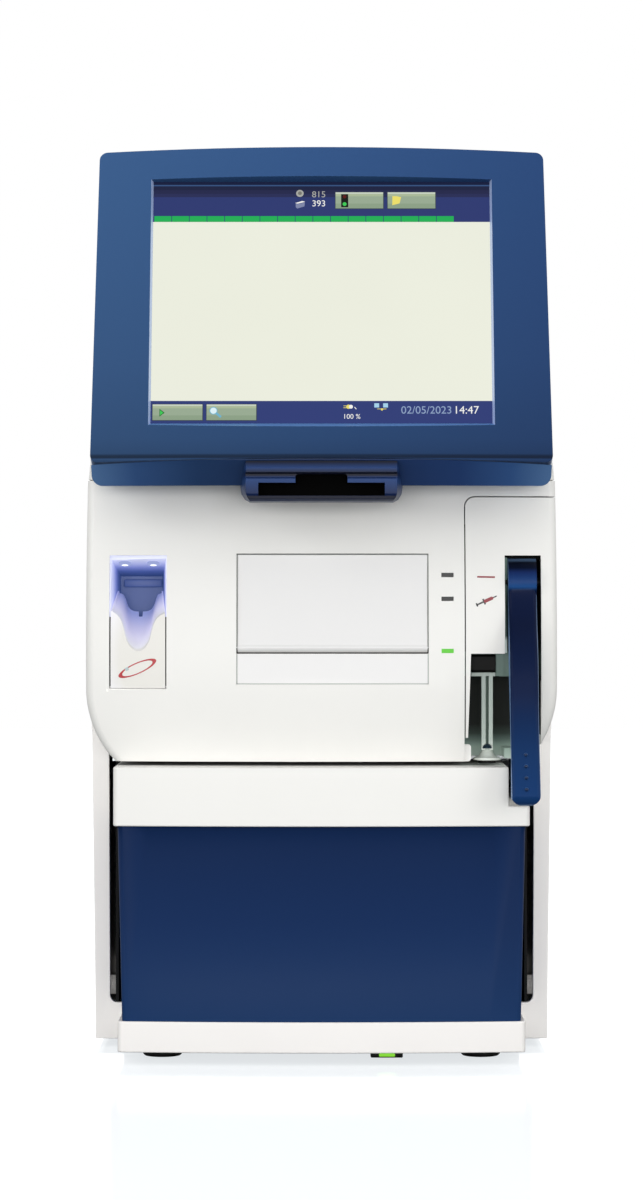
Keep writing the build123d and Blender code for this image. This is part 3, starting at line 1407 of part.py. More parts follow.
# ------------------------------------------------------------------ write every node
PARTS = {
    "pack_shell": pack_shell(),
    "pack_cap": pack_cap(),
    "reagent_pouches": reagent_pouches(),
    "base_sill": base_sill(),
    "floor_plate": floor_plate(),
    "rubber_feet": rubber_feet(),
    "pack_runners": pack_runners(),
    "chassis_walls": chassis_walls(),
    "chassis_shelf": chassis_shelf(),
    "rear_bulkhead": rear_bulkhead(),
    "right_side_panel": side_panel(1),
    "left_side_panel": side_panel(-1),
    "rear_cover": rear_cover(),
    "housing_screws": housing_screws(),
    "front_cover": front_cover(),
    "inlet_cover": inlet_cover(),
    "cassette_door": cassette_door(),
    "door_hinge_pin": door_hinge_pin(),
    "cassette_bay": cassette_bay(),
    "sensor_cassette": sensor_cassette(),
    "status_lenses": status_lenses(),
    "ready_lens": lens(lip_z + ready_rise),
    "mixer_housing": mixer_housing(),
    "mixer_lamps": mixer_lamps(),
    "mixer_cradle": mixer_cradle(),
    "mixer_shaft": mixer_shaft(),
    "mixer_motor": mixer_motor(),
    "inlet_handle": inlet_handle(),
    "inlet_bracket": inlet_bracket(),
    "handle_pin": handle_pin(),
    "arm_block": arm_block(),
    "arm_column": arm_column(),
    "arm_gasket": arm_gasket(),
    "inlet_probe": inlet_probe(),
    "arm_pin": arm_pin(),
    "head_bezel": head_bezel(),
    "head_rear_shell": head_rear_shell(),
    "touch_glass": touch_glass(),
    "display_module": display_module(),
    "reader_housing": reader_housing(),
    "reader_module": reader_module(),
    "top_cover": top_cover(),
    "printer_tray": printer_tray(),
    "printer_lid": printer_lid(),
    "paper_roll": paper_roll(),
    "platen_roller": platen_roller(),
    "release_button": release_button(),
    "fan_frame": fan_frame(),
    "fan_rotor": fan_rotor(),
    "power_inlet": power_inlet(),
    "power_switch": power_switch(),
    "data_ports": data_ports(),
    "fluid_manifold": fluid_manifold(),
    "fluid_tubes": fluid_tubes(),
    "pump_housing": pump_housing(),
    "pump_rotor": pump_rotor(),
    "optics_module": optics_module(),
    "power_supply": shelf_box(supply_x, supply_size),
    "battery_pack": shelf_box(battery_x, battery_size),
    "mainboard": mainboard(),
}

os.makedirs("parts", exist_ok=True)
for node, solid in PARTS.items():
    export_step(solid, f"parts/{node}.step")
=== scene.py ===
# %% [markdown]
# # A bench-top blood gas analyzer
# The unit stands on a bench and is worked from the front. From top to bottom it has a blue display head
# that leans back, a barcode reader under the head, a white bowed body with a lit sample mixer, a cassette
# door and a sample inlet, and a blue solution pack that slides out like a drawer. The solids come from CAD
# in their real place and size. This script gives them their looks: softened edges, real finishes, the
# picture on the screen, the marks beside the inlet and the light in the mixer.

# %% Load the solids
import json
import math

import bmesh
import bpy
from mathutils import Matrix, Vector
from mathutils.bvhtree import BVHTree


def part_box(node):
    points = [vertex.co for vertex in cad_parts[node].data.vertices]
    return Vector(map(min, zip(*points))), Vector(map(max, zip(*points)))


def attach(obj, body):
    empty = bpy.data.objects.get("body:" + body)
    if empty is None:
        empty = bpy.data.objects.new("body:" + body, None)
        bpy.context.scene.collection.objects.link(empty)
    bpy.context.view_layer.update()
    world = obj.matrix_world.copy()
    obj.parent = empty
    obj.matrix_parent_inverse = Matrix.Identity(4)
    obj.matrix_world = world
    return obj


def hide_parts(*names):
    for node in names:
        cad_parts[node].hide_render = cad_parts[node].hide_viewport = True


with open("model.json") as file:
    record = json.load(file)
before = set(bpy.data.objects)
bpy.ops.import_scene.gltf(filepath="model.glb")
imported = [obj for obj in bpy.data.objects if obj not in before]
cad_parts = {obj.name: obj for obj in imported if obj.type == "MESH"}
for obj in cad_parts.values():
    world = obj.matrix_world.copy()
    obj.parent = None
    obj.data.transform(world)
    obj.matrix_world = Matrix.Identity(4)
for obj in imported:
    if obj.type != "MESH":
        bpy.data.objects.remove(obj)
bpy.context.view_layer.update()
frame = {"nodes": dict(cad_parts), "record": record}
scene = bpy.context.scene
MM = 0.001

# %% [markdown]
# ## The photographer's place
# The photograph was taken straight from the front, from about 1.8 m, a little above the middle of the unit.
# A long lens keeps the sides nearly parallel. The frame is 643 pixels wide and 1200 high.

# %% Camera
PHOTO_HEIGHT = 1200
FOCAL_PIXELS = 3600.0
SENSOR = 36.0
CAMERA_PLACE = Vector((0.0, -1.910, 0.232))

camera_data = bpy.data.cameras.new("front_camera")
camera_data.sensor_width = SENSOR
camera_data.lens = SENSOR * FOCAL_PIXELS / PHOTO_HEIGHT
camera_data.clip_start, camera_data.clip_end = 0.1, 30.0
camera = bpy.data.objects.new("front_camera", camera_data)
camera.location = CAMERA_PLACE
camera.rotation_euler = (math.radians(90), 0, 0)
scene.collection.objects.link(camera)
scene.camera = camera
print("lens:", round(camera_data.lens), "mm")

# %% [markdown]
# ## Light like a product photograph
# White goods are photographed in soft light from large panels, so that edges show as gentle shading and not
# as hard shadows. Large area lamps stand in for the panels. A wide, low one stands behind the camera: it
# reaches the body under the head, while the head's underside, which looks down, stays dark. The world gives
# an even fill, and it is plain white only where the camera, a reflection or a see-through part looks at it.


# %% A helper for shader nodes
def add(tree, kind, values=None, **settings):
    """Adds one node. A value in values that is a socket is linked, and any other value is written in."""
    node = tree.nodes.new(kind)
    for name, value in settings.items():
        setattr(node, name, value)
    for key, value in (values or {}).items():
        if isinstance(value, bpy.types.NodeSocket):
            tree.links.new(value, node.inputs[key])
        else:
            node.inputs[key].default_value = value
    return node


def colour(code, alpha=1.0):
    """Linear RGBA of an sRGB hex colour."""
    parts = [int(code[i:i + 2], 16) / 255 for i in (1, 3, 5)]
    linear = [c / 12.92 if c <= 0.04045 else ((c + 0.055) / 1.055) ** 2.4 for c in parts]
    return (*linear, alpha)


# %% World and lamps
FILL_STRENGTH = 0.52
LAMPS = {
    # name: place, point it looks at, width and height in metres, power in watts
    "key_panel": ((-1.70, -1.50, 0.95), (0, 0, 0.22), 1.1, 1.3, 12.0),
    "fill_panel": ((1.80, -1.40, 0.70), (0, 0, 0.22), 1.1, 1.3, 10.0),
    "front_panel": ((0.0, -2.45, 0.30), (0, 0, 0.22), 1.8, 0.6, 24.0),
    "top_panel": ((0.0, -0.15, 1.75), (0, 0, 0.30), 1.2, 0.9, 3.0),
    "back_panel": ((0.2, 1.9, 1.1), (0, 0, 0.25), 1.4, 1.0, 9.0),
}

world = bpy.data.worlds.new("studio")
scene.world = world
world.use_nodes = True
tree = world.node_tree
tree.nodes.clear()
path = add(tree, "ShaderNodeLightPath")
seen = add(tree, "ShaderNodeMath", {0: path.outputs["Is Camera Ray"], 1: path.outputs["Is Glossy Ray"]},
           operation="ADD")
seen = add(tree, "ShaderNodeMath", {0: seen.outputs[0], 1: path.outputs["Is Transmission Ray"]},
           operation="ADD", use_clamp=True)
strength = add(tree, "ShaderNodeMapRange", {0: seen.outputs[0], 3: FILL_STRENGTH, 4: 1.0})
background = add(tree, "ShaderNodeBackground", {"Color": (1, 1, 1, 1), "Strength": strength.outputs[0]})
add(tree, "ShaderNodeOutputWorld", {"Surface": background.outputs[0]})

for name, (place, target, width, height, power) in LAMPS.items():
    lamp_data = bpy.data.lights.new(name, "AREA")
    lamp_data.shape = "RECTANGLE"
    lamp_data.size, lamp_data.size_y, lamp_data.energy = width, height, power
    lamp = bpy.data.objects.new(name, lamp_data)
    lamp.location = place
    lamp.rotation_euler = (Vector(target) - Vector(place)).to_track_quat("-Z", "Y").to_euler()
    scene.collection.objects.link(lamp)
scene.view_settings.view_transform = "Standard"
print("lamps:", len(LAMPS))

# %% [markdown]
# ## The floor
# The unit stands on a white glossy sheet: it keeps a soft shadow and a faint mirror image. White is what
# the camera sees of it. To the unit it is a mid grey, so that little light comes back from below and the
# undersides stay dark.

# %% Floor
FLOOR_SIZE = 9.0
floor_mesh = bpy.data.meshes.new("floor")
half = FLOOR_SIZE / 2
floor_corners = [(-half, -half, 0), (half, -half, 0), (half, half, 0), (-half, half, 0)]
floor_mesh.from_pydata(floor_corners, [], [(0, 1, 2, 3)])
floor = bpy.data.objects.new("floor", floor_mesh)
scene.collection.objects.link(floor)

sheet = bpy.data.materials.new("white_acrylic_sheet")
sheet.use_nodes = True
tree = sheet.node_tree
tree.nodes.clear()
path = add(tree, "ShaderNodeLightPath")
base = add(tree, "ShaderNodeBsdfPrincipled",
           {"Base Color": colour("#BFC0C0"), "Roughness": 0.08, "Specular IOR Level": 0.45})
glow = add(tree, "ShaderNodeEmission", {"Color": colour("#F8FCFF"), "Strength": 0.76})
bright = add(tree, "ShaderNodeAddShader", {0: base.outputs[0], 1: glow.outputs[0]})
dim = add(tree, "ShaderNodeBsdfDiffuse", {"Color": colour("#85898A")})
shown = add(tree, "ShaderNodeMixShader",
            {0: path.outputs["Is Camera Ray"], 1: dim.outputs[0], 2: bright.outputs[0]})
add(tree, "ShaderNodeOutputMaterial", {"Surface": shown.outputs[0]})
floor_mesh.materials.append(sheet)
print("floor:", FLOOR_SIZE, "m wide")

# %% [markdown]
# ## Finishes
# Every cover is a moulded plastic. A mould that is spark-eroded leaves a fine grain of pits about 0.3 mm
# apart, which breaks up reflections. The grain is drawn with a noise of that size in the bump. The head is
# painted with a metallic blue, whose flakes are small bright and dark specks. Object coordinates are in
# metres, so a noise scale of 1 / size gives specks of that size.


# %% Helpers that make a finish
CLOUD_SIZE = 1 / 18
ROUGHNESS_SPREAD = 0.04


def started(name):
    """A new material with its tree, its shader and its Object coordinates."""
    material = bpy.data.materials.new(name)
    material.use_nodes = True
    tree = material.node_tree
    place = add(tree, "ShaderNodeTexCoord").outputs["Object"]
    return material, tree, tree.nodes["Principled BSDF"], place


def mottled(tree, cloud, code, amount):
    """A colour that a cloudy noise makes a touch darker and lighter."""
    base = colour(code)[:3]
    shade = add(tree, "ShaderNodeMix", {"Factor": cloud.outputs["Fac"]}, data_type="RGBA")
    shade.inputs["A"].default_value = [c * (1 - amount) for c in base] + [1]
    shade.inputs["B"].default_value = [c * (1 + amount) for c in base] + [1]
    return shade.outputs["Result"]


def finish(name, code, roughness, grain=0.35, depth=0.012, mottle=0.03, **extra):
    """Material with a fine grain in its bump and a slight mottle in its colour. Sizes are in millimetres."""
    material, tree, shader, place = started(name)
    pits = add(tree, "ShaderNodeTexNoise", {"Vector": place, "Scale": 1 / (grain * MM), "Detail": 2.0})
    bump = add(tree, "ShaderNodeBump",
               {"Height": pits.outputs["Fac"], "Distance": depth * MM, "Strength": 0.5})
    cloud = add(tree, "ShaderNodeTexNoise", {"Vector": place, "Scale": 1 / CLOUD_SIZE, "Detail": 4.0})
    tree.links.new(mottled(tree, cloud, code, mottle), shader.inputs["Base Color"])
    rough = add(tree, "ShaderNodeMapRange",
                {"Value": cloud.outputs["Fac"], "To Min": roughness - ROUGHNESS_SPREAD,
                 "To Max": roughness + ROUGHNESS_SPREAD})
    tree.links.new(rough.outputs[0], shader.inputs["Roughness"])
    tree.links.new(bump.outputs[0], shader.inputs["Normal"])
    for key, value in extra.items():
        shader.inputs[key.replace("_", " ")].default_value = value
    return material


# %% Finishes of one colour
white_abs = finish("white_abs_spark_eroded", "#EFEEEA", 0.42)
panel_abs = finish("white_abs_side_panel", "#F7F4F1", 0.42)
# Painted light: the large side panels glow a little, for light that reaches them from the sides.
side_panel_painted_glow = finish("white_abs_large_panel_painted_glow", "#F7F4F1", 0.42, Emission_Color=colour("#F7F4F1"),
                  Emission_Strength=0.10)
door_abs = finish("grey_white_abs_fine", "#E6E5E4", 0.34, grain=0.25)
button_blue = finish("dark_blue_abs_fine", "#12305F", 0.30, grain=1.5, depth=0.004, Specular_IOR_Level=0.10)
grey_abs = finish("grey_abs_moulded", "#8E9A98", 0.45)
pale_grey = finish("pale_acetal_moulded", "#B4BCB8", 0.35)
# Black sheet that is painted shade in the reader's slot.
slot_shade_black = finish("black_matt_sheet_painted_shade", "#040404", 0.7, Specular_IOR_Level=0.02)
black_abs = finish("black_abs_moulded", "#0C0C0B", 0.45, Specular_IOR_Level=0.08)
rubber = finish("black_nitrile_rubber", "#141414", 0.65, grain=0.6, depth=0.03, Specular_IOR_Level=0.2)
zinc_sheet = finish("zinc_plated_steel_sheet", "#A9ACAE", 0.36, grain=6.0, depth=0.01, mottle=0.12,
                    Metallic=1.0)
ground_steel = finish("ground_steel", "#B9BABB", 0.25, grain=0.2, depth=0.004, Metallic=1.0)
milled_aluminium = finish("milled_aluminium", "#C3C6C8", 0.30, grain=0.4, depth=0.01, Metallic=1.0)
board_green = finish("green_solder_mask", "#0F4A2C", 0.35, grain=1.2, depth=0.02, mottle=0.25)
foil = finish("metallised_pouch_film", "#B8BDC2", 0.28, grain=9.0, depth=0.6, mottle=0.1, Metallic=0.6)
silicone = finish("clear_silicone_tube", "#C9CBC4", 0.30, Transmission_Weight=0.5)
thermal_paper = finish("thermal_paper", "#F4F3EF", 0.60, grain=0.15, depth=0.01)
screen_glass = finish("screen_glass", "#0A0C12", 0.06, grain=4.0, depth=0.0, mottle=0.0, Coat_Weight=1.0,
                      Coat_Roughness=0.03)
smoked_lens = finish("smoked_polycarbonate", "#0C0D0E", 0.12, grain=4.0, depth=0.0, Specular_IOR_Level=0.15)
dark_gap = finish("grey_abs_in_shadow", "#3A3D38", 0.6, Specular_IOR_Level=0.1)
print("finishes of one colour:", len(bpy.data.materials) - 1)


# %% Finishes that give light
GLOW_CLOUD_SIZE = 1 / 14
UNLIT_BLACK = (0.004, 0.004, 0.004, 1)


def lit(name, code, strength=1.0):
    """A surface that gives light of its own, a touch uneven as a backlight is."""
    material, tree, shader, place = started(name)
    cloud = add(tree, "ShaderNodeTexNoise", {"Vector": place, "Scale": 1 / GLOW_CLOUD_SIZE, "Detail": 2.0})
    tree.links.new(mottled(tree, cloud, code, 0.02), shader.inputs["Emission Color"])
    shader.inputs["Base Color"].default_value = UNLIT_BLACK
    shader.inputs["Roughness"].default_value = 0.35
    shader.inputs["Specular IOR Level"].default_value = 0.05
    shader.inputs["Emission Strength"].default_value = strength
    return material


green_lens = lit("green_polycarbonate_lit", "#6FD24F")
sill_green = lit("green_sill_lamp", "#86D83C")
lamp_lens = lit("white_lamp_lens", "#F4F6FF", 1.6)
lamp_rim = lit("lavender_lamp_rim", "#9FAADB", 0.95)
print("finishes with the lit ones:", len(bpy.data.materials) - 1)

# %% [markdown]
# ## Painted light and shade along a piece
# A glossy or a hollow piece isn't one colour to the eye: it mirrors light and dark parts of the room, and
# light fades towards the back of a recess. Such a finish gets that light and shade painted in, as a colour
# ramp along one axis of the object. The ramp is fixed to the piece, so it stays with it in every view. A
# curved glossy edge also gets a painted pale rim with Layer Weight.


# %% Helpers for colours along a piece
def ramp_along(tree, axis, start, end, stops):
    """A colour that runs through stops along one axis, between two places in millimetres."""
    place = add(tree, "ShaderNodeSeparateXYZ", {0: add(tree, "ShaderNodeTexCoord").outputs["Object"]})
    share = add(tree, "ShaderNodeMapRange",
                {"Value": place.outputs[axis], "From Min": start * MM, "From Max": end * MM})
    ramp = add(tree, "ShaderNodeValToRGB", {"Fac": share.outputs[0]})
    first, last = ramp.color_ramp.elements
    first.position, first.color = stops[0][0], colour(stops[0][1])
    last.position, last.color = stops[-1][0], colour(stops[-1][1])
    for position, code in stops[1:-1]:
        ramp.color_ramp.elements.new(position).color = colour(code)
    return ramp.outputs[0]


def shaded_along(name, axis, start, end, stops, roughness, glow=0.0, **extra):
    """Finish whose colour runs through stops along one axis, with a glow of the same colours."""
    material = finish(name, stops[0][1], roughness, **extra)
    tree = material.node_tree
    shader = tree.nodes["Principled BSDF"]
    ramp = ramp_along(tree, axis, start, end, stops)
    tree.links.new(ramp, shader.inputs["Base Color"])
    if glow:
        tree.links.new(ramp, shader.inputs["Emission Color"])
        shader.inputs["Emission Strength"].default_value = glow
    return material


def painted_rim(material, code, start, share):
    """Paints into the colour the pale rim that a curved glossy edge shows where it turns away from the eye: a
    painted reflection.
    """
    tree = material.node_tree
    socket = tree.nodes["Principled BSDF"].inputs["Base Color"]
    under = socket.links[0].from_socket
    facing = add(tree, "ShaderNodeLayerWeight", {"Blend": 0.5})
    rim = add(tree, "ShaderNodeMapRange",
              {"Value": facing.outputs["Facing"], "From Min": start, "To Max": share})
    mixed = add(tree, "ShaderNodeMix", {"Factor": rim.outputs[0], "A": under}, data_type="RGBA")
    mixed.inputs["B"].default_value = colour(code)
    tree.links.new(mixed.outputs["Result"], socket)


def darkened_along(material, axis, start, end, stops):
    """Multiplies a material's colour by greys that run through stops along one axis."""
    tree = material.node_tree
    socket = tree.nodes["Principled BSDF"].inputs["Base Color"]
    greys = ramp_along(tree, axis, start, end, stops)
    mixed = add(tree, "ShaderNodeMix", {"Factor": 1.0, "A": socket.links[0].from_socket, "B": greys},
                data_type="RGBA", blend_type="MULTIPLY")
    tree.links.new(mixed.outputs["Result"], socket)


# %% Blue paints of the head
# Places along the head are in millimetres, from the frame's middle and from the floor.
PAINT = {"roughness": 0.40, "grain": 0.5, "depth": 0.006, "Specular_IOR_Level": 0.10}
HEAD_HALF, HEAD_FOOT, HEAD_TOP = 115, 288, 461
# Painted shade: the head is painted brighter on the side of the main light and towards its top, and gets a
# painted pale rim.
HEAD_SHADE_STOPS = [(0.0, "#365885"), (0.5, "#2F507F"), (1.0, "#274574")]
head_paint_shaded = shaded_along("blue_metallic_paint_satin_painted_shade", "X", -HEAD_HALF, HEAD_HALF, HEAD_SHADE_STOPS, **PAINT)
darkened_along(head_paint_shaded, "Z", HEAD_FOOT, HEAD_TOP,
               [(0.0, "#CCCCCC"), (0.095, "#D0D0D0"), (0.36, "#E2E2E2"), (1.0, "#FFFFFF")])
painted_rim(head_paint_shaded, "#A9C0EA", 0.72, 0.75)
# Painted shade and reflection: the chin is painted darker than the face, as it looks down, and paler at its
# ends, where it bends back and would mirror the white room.
CHIN_SHADE_STOPS = [(0.0, "#5679A6"), (0.11, "#315080"), (0.24, "#203A62"), (0.5, "#1C2F54"), (0.79, "#213B6B"),
              (0.9, "#325386"), (1.0, "#5679A6")]
chin_painted_shade = shaded_along("blue_metallic_paint_on_the_chin_painted_shade", "X", -118, 118, CHIN_SHADE_STOPS, **PAINT)
# Painted shade: the bezel's crease over the chin is painted dark, and the bezel lighter towards its top, with
# a painted pale rim.
bezel_paint_shaded = shaded_along("blue_metallic_paint_on_the_bezel_painted_shade", "X", -HEAD_HALF, HEAD_HALF, HEAD_SHADE_STOPS,
                           **PAINT)
darkened_along(bezel_paint_shaded, "Z", HEAD_FOOT, HEAD_TOP,
               [(0.0, "#A6A6A6"), (0.073, "#B1B1B1"), (0.079, "#D0D0D0"), (0.0815, "#787878"),
                (0.0885, "#787878"), (0.094, "#C4C4C4"), (0.139, "#D4D4D4"), (0.36, "#E8E8E8"),
                (0.65, "#F4F4F4"), (1.0, "#FFFFFF")])
painted_rim(bezel_paint_shaded, "#A9C0EA", 0.72, 0.75)
# Painted highlights on the chamfer round the glass: pale blue on its sides, mid blue at its foot.
side_chamfer_painted_highlight = finish("blue_metallic_paint_side_chamfer_painted_highlight", "#B3C6EE", 0.3, grain=0.5, depth=0.006)
foot_chamfer_painted_highlight = finish("blue_metallic_paint_lower_chamfer_painted_highlight", "#5C8AC4", 0.3, grain=0.5, depth=0.006)
# Painted reflections: the reader's polished ridges are painted with bright bands where the lamps would mirror
# in them, between dark ones, and get a painted pale rim.
RIDGE_REFLECTION_STOPS = [(0.0, "#1A2A4C"), (0.06, "#182746"), (0.09, "#070D22"), (0.14, "#070D22"), (0.16, "#122044"),
               (0.52, "#1E3C70"), (0.60, "#132650"), (0.63, "#070D22"), (0.69, "#070D22"),
               (0.80, "#1C386A"), (0.94, "#070D22"), (1.0, "#050A1A")]
reader_painted_reflection = shaded_along("blue_metallic_paint_on_ridges_painted_reflection", "Z", 280, 301, RIDGE_REFLECTION_STOPS,
                            **{**PAINT, "roughness": 0.35})
painted_rim(reader_painted_reflection, "#2C4A86", 0.8, 0.3)
print("finishes with the paints:", len(bpy.data.materials) - 1)

# %% Blue plastics of the pack and the lever
# Painted shade: the box is painted a touch lighter towards its foot and darker towards its top.
pack_blue_shaded = shaded_along("dark_blue_polypropylene_painted_shade", "Z", 22, 119,
                         [(0.0, "#1A3661"), (0.5, "#162D56"), (1.0, "#14284E")],
                         0.42, grain=0.3, depth=0.010, Specular_IOR_Level=0.05)
# Painted shade and reflection: the polished abs is painted nearly black where it faces the dark slot, and
# bluer towards the tip, which gets more light. A painted blue band stands for a panel mirrored in the bend
# below the pivot, and a painted pale rim for the thin bright line on the right-hand edge.
LEVER_SHADE_STOPS = [(0.0, "#16396B"), (0.2, "#15335F"), (0.45, "#0B1C40"), (0.72, "#081432"), (0.862, "#0A1738"),
               (0.876, "#204C86"), (0.895, "#1C4078"), (0.935, "#15295A"), (0.952, "#0B1226"),
               (1.0, "#07090E")]
lever_painted_shade = shaded_along("dark_blue_polished_abs_painted_shade", "Z", 130, 254, LEVER_SHADE_STOPS, 0.34, grain=1.5, depth=0.004,
                          Specular_IOR_Level=0.06)
painted_rim(lever_painted_shade, "#86ACDD", 0.45, 0.9)
# Painted highlight: the bumps get a pale blue rim painted where they turn away.
bump_painted_highlight = finish("lever_bump_abs_painted_highlight", "#0C2348", 0.3, grain=1.5, depth=0.004,
                   Specular_IOR_Level=0.25)
painted_rim(bump_painted_highlight, "#3E70AC", 0.2, 0.9)
print("finishes with the blue plastics:", len(bpy.data.materials) - 1)

# %% Finishes of the inlet and the mixer
seal_blue = finish("dark_blue_silicone_seal", "#1B2E3A", 0.4, Specular_IOR_Level=0.2)
# Painted shade: the probe's steel is a dull grey-green, as it looks in the slit's shade.
probe_steel_painted_shade = finish("drawn_steel_painted_shade", "#75867D", 0.6, grain=0.5, Specular_IOR_Level=0.1)
dark_sheet = finish("blackened_steel_sheet", "#141617", 0.5, grain=3.0, Specular_IOR_Level=0.12)
# Painted light: the recess, lit by two cold white lamps in its ceiling, is painted pale lavender near them
# and deep blue at the back, with a glow of the same colours.
RECESS_LIGHT_STOPS = [(0.0, "#DCDEEA"), (0.25, "#CACDE4"), (0.45, "#A9AFD4"), (0.62, "#7A86C0"), (0.80, "#4A5D9A"),
                (1.0, "#31467A")]
recess_painted_light = shaded_along("white_abs_painted_blue_light", "Y", -99, -57, RECESS_LIGHT_STOPS, 0.45, 0.50)
# Painted light: the cradle is painted lavender from the mixer's lamps, bluer towards its back, with a faint
# glow.
CRADLE_LIGHT_STOPS = [(0.0, "#DDDBD5"), (0.05, "#E9E8EC"), (0.3, "#E8E5F2"), (0.6, "#D5D3EA"), (1.0, "#AEB7E0")]
cradle_painted_light = shaded_along("white_abs_painted_lavender_light", "Y", -97.0, -68, CRADLE_LIGHT_STOPS, 0.42, 0.12)
# Painted light and shade: the bracket's cheeks are painted light where they catch light at the front and dark
# where they fall into the dark behind, with a glow of the same colours.
BRACKET_SHADE_STOPS = [(0.0, "#A3B3A9"), (0.047, "#8A9E93"), (0.08, "#5C6E67"), (0.113, "#333E39"),
                 (0.16, "#181C19"), (0.402, "#141715"), (0.407, "#62746D"), (0.52, "#6A7B75"),
                 (0.53, "#0E100F"), (1.0, "#0B0C0B")]
bracket_painted_shade = shaded_along("grey_green_abs_painted_shade", "Z", 152, 254, BRACKET_SHADE_STOPS, 0.5, 0.30,
                           Specular_IOR_Level=0.15)
# Painted light: the column is painted pale at its foot and greyer higher up, in shade.
rail_plastic_shaded = shaded_along("grey_green_polycarbonate_painted_shade", "Z", 151, 195,
                            [(0.0, "#DDE3DB"), (0.13, "#CDD6CC"), (0.25, "#A7B6AC"), (1.0, "#93A49B")], 0.3)
print("finishes in all:", len(bpy.data.materials) - 1)

# %% [markdown]
# ## Softened edges
# No moulded edge is truly sharp: it has a radius of a few tenths of a millimetre that catches the light. A
# copy of each visible cover gets its loose triangles merged and its flat faces made whole, and a Bevel
# modifier rounds what is left of its sharp edges. The copy stands for the solid. Some copies are also drawn
# a little further than the solid: the recess narrows towards the rear, the opening round the glass gets its
# chamfer and the reader its round ends. Others only get faces marked for a second finish. Most second
# finishes are painted light or shade: painted highlights on the chamfer, painted shade on the chin, beside
# the mixer's cradle and in the reader's slot, and the side panels' inner faces without their painted glow.

# %% Places on the tilted glass
TILT = math.radians(16)
UP = Vector((0, math.sin(TILT), math.cos(TILT)))
OUT = Vector((0, -math.cos(TILT), math.sin(TILT)))
GLASS_MARGIN = 4 * MM
corners = [vertex.co for vertex in frame["nodes"]["touch_glass"].data.vertices]
glass_front = max(OUT.dot(co) for co in corners)
glass_low = min(UP.dot(co) for co in corners)
picture_half = max(co.x for co in corners) - GLASS_MARGIN
picture_height = max(UP.dot(co) for co in corners) - glass_low - 2 * GLASS_MARGIN
# The opening's foot and the picture reach a touch below the margin.
FOOT_DROP = 0.1 * MM
print("picture:", round(2 * picture_half / MM, 1), "x", round(picture_height / MM, 1), "mm")


# %% Recess and cradle of the mixer
MIXER_X, MIXER_FRONT, MIXER_BACK = -92.5 * MM, -98 * MM, -56 * MM
MIXER_DRAFT, WALL_FROM = 3.7 * MM, 11.5 * MM
CRADLE_FOOT, CRADLE_TOP = 188.6 * MM, 223.5 * MM
FUNNEL_HALF, FUNNEL_CORE, FUNNEL_FOOT = 13.9 * MM, 1.2 * MM, 200 * MM
FUNNEL_FRONT, FUNNEL_DEPTH = -96 * MM, 30 * MM
FUNNEL_WIDENING, FLANK_DRAFT = 0.45, 0.135


def everything(shape):
    """All that a shape is made of."""
    return [*shape.verts, *shape.edges, *shape.faces]


def draft_housing(shape):
    """Draws the recess's side walls in towards the rear, and marks what lies beside and below the cradle."""
    for level in (CRADLE_FOOT, CRADLE_TOP):
        bmesh.ops.bisect_plane(shape, geom=everything(shape), plane_co=(0, 0, level), plane_no=(0, 0, 1))
    for vertex in shape.verts:
        side = vertex.co.x - MIXER_X
        depth = (vertex.co.y - MIXER_FRONT) / (MIXER_BACK - MIXER_FRONT)
        if abs(side) > WALL_FROM:
            vertex.co.x -= math.copysign(MIXER_DRAFT * min(1, max(0, depth)), side)
    # Painted shade: faces beside the cradle get the shadow finish, faces below it the plain white without the
    # recess's painted light.
    for face in shape.faces:
        height = face.calc_center_median().z
        face.material_index = 2 if height < CRADLE_FOOT else 1 if height < CRADLE_TOP else 0


def open_funnel(shape):
    """Widens the funnel's valley towards the rear, and draws its flanks in with the recess's walls."""
    for vertex in shape.verts:
        side = vertex.co.x - MIXER_X
        depth = min(1, max(0, (vertex.co.y - FUNNEL_FRONT) / FUNNEL_DEPTH))
        reach = abs(side)
        if reach > FUNNEL_CORE and vertex.co.z > FUNNEL_FOOT:
            share = min(1, (reach - FUNNEL_CORE) / (FUNNEL_HALF - FUNNEL_CORE))
            reach = FUNNEL_CORE + (FUNNEL_HALF - FUNNEL_CORE) * share ** (1 - FUNNEL_WIDENING * depth)
            reach *= 1 - FLANK_DRAFT * depth
            vertex.co.x = MIXER_X + math.copysign(reach, side)


# %% Opening round the screen
CHAMFER_SLOPE, CHAMFER_SPLAY, CHAMFER_OUT = 0.52, 0.95 * MM, 7 * MM
OPENING_HALF, OPENING_LOW, OPENING_TOP = 85.5 * MM, 3.5 * MM, 133 * MM
NEAR = 0.5 * MM


def chamfer_opening(shape):
    """Leans the screen opening's side and lower walls outwards, as the chamfer round the glass does."""
    for vertex in shape.verts:
        up, out = UP.dot(vertex.co) - glass_low, OUT.dot(vertex.co) - glass_front
        if abs(vertex.co.x) < OPENING_HALF and OPENING_LOW < up < OPENING_TOP:
            if abs(up - GLASS_MARGIN) < NEAR:
                vertex.co -= UP * (FOOT_DROP + CHAMFER_SLOPE * max(0, out))
            if abs(vertex.co.x) > picture_half - NEAR and out > 2 * NEAR:
                vertex.co.x += math.copysign(CHAMFER_SPLAY, vertex.co.x)
    # The side and lower walls of the opening are marked for their painted highlights.
    for face in shape.faces:
        middle = face.calc_center_median()
        across, up, out = abs(middle.x), UP.dot(middle) - glass_low, OUT.dot(middle) - glass_front
        inside = NEAR < out < CHAMFER_OUT and across < OPENING_HALF + NEAR and up < OPENING_TOP - 2 * NEAR
        side = inside and across > OPENING_HALF - 2 * NEAR
        foot = inside and 2 * NEAR < up < OPENING_LOW + NEAR
        face.material_index = 1 if side else 2 if foot else 0


# %% Lever, chin and side panels
BLADE_LEFT, BLADE_RIGHT = 94.2 * MM, 108.4 * MM
CHIN_TOP = 301.5 * MM
LOOKS_INWARDS = -0.3


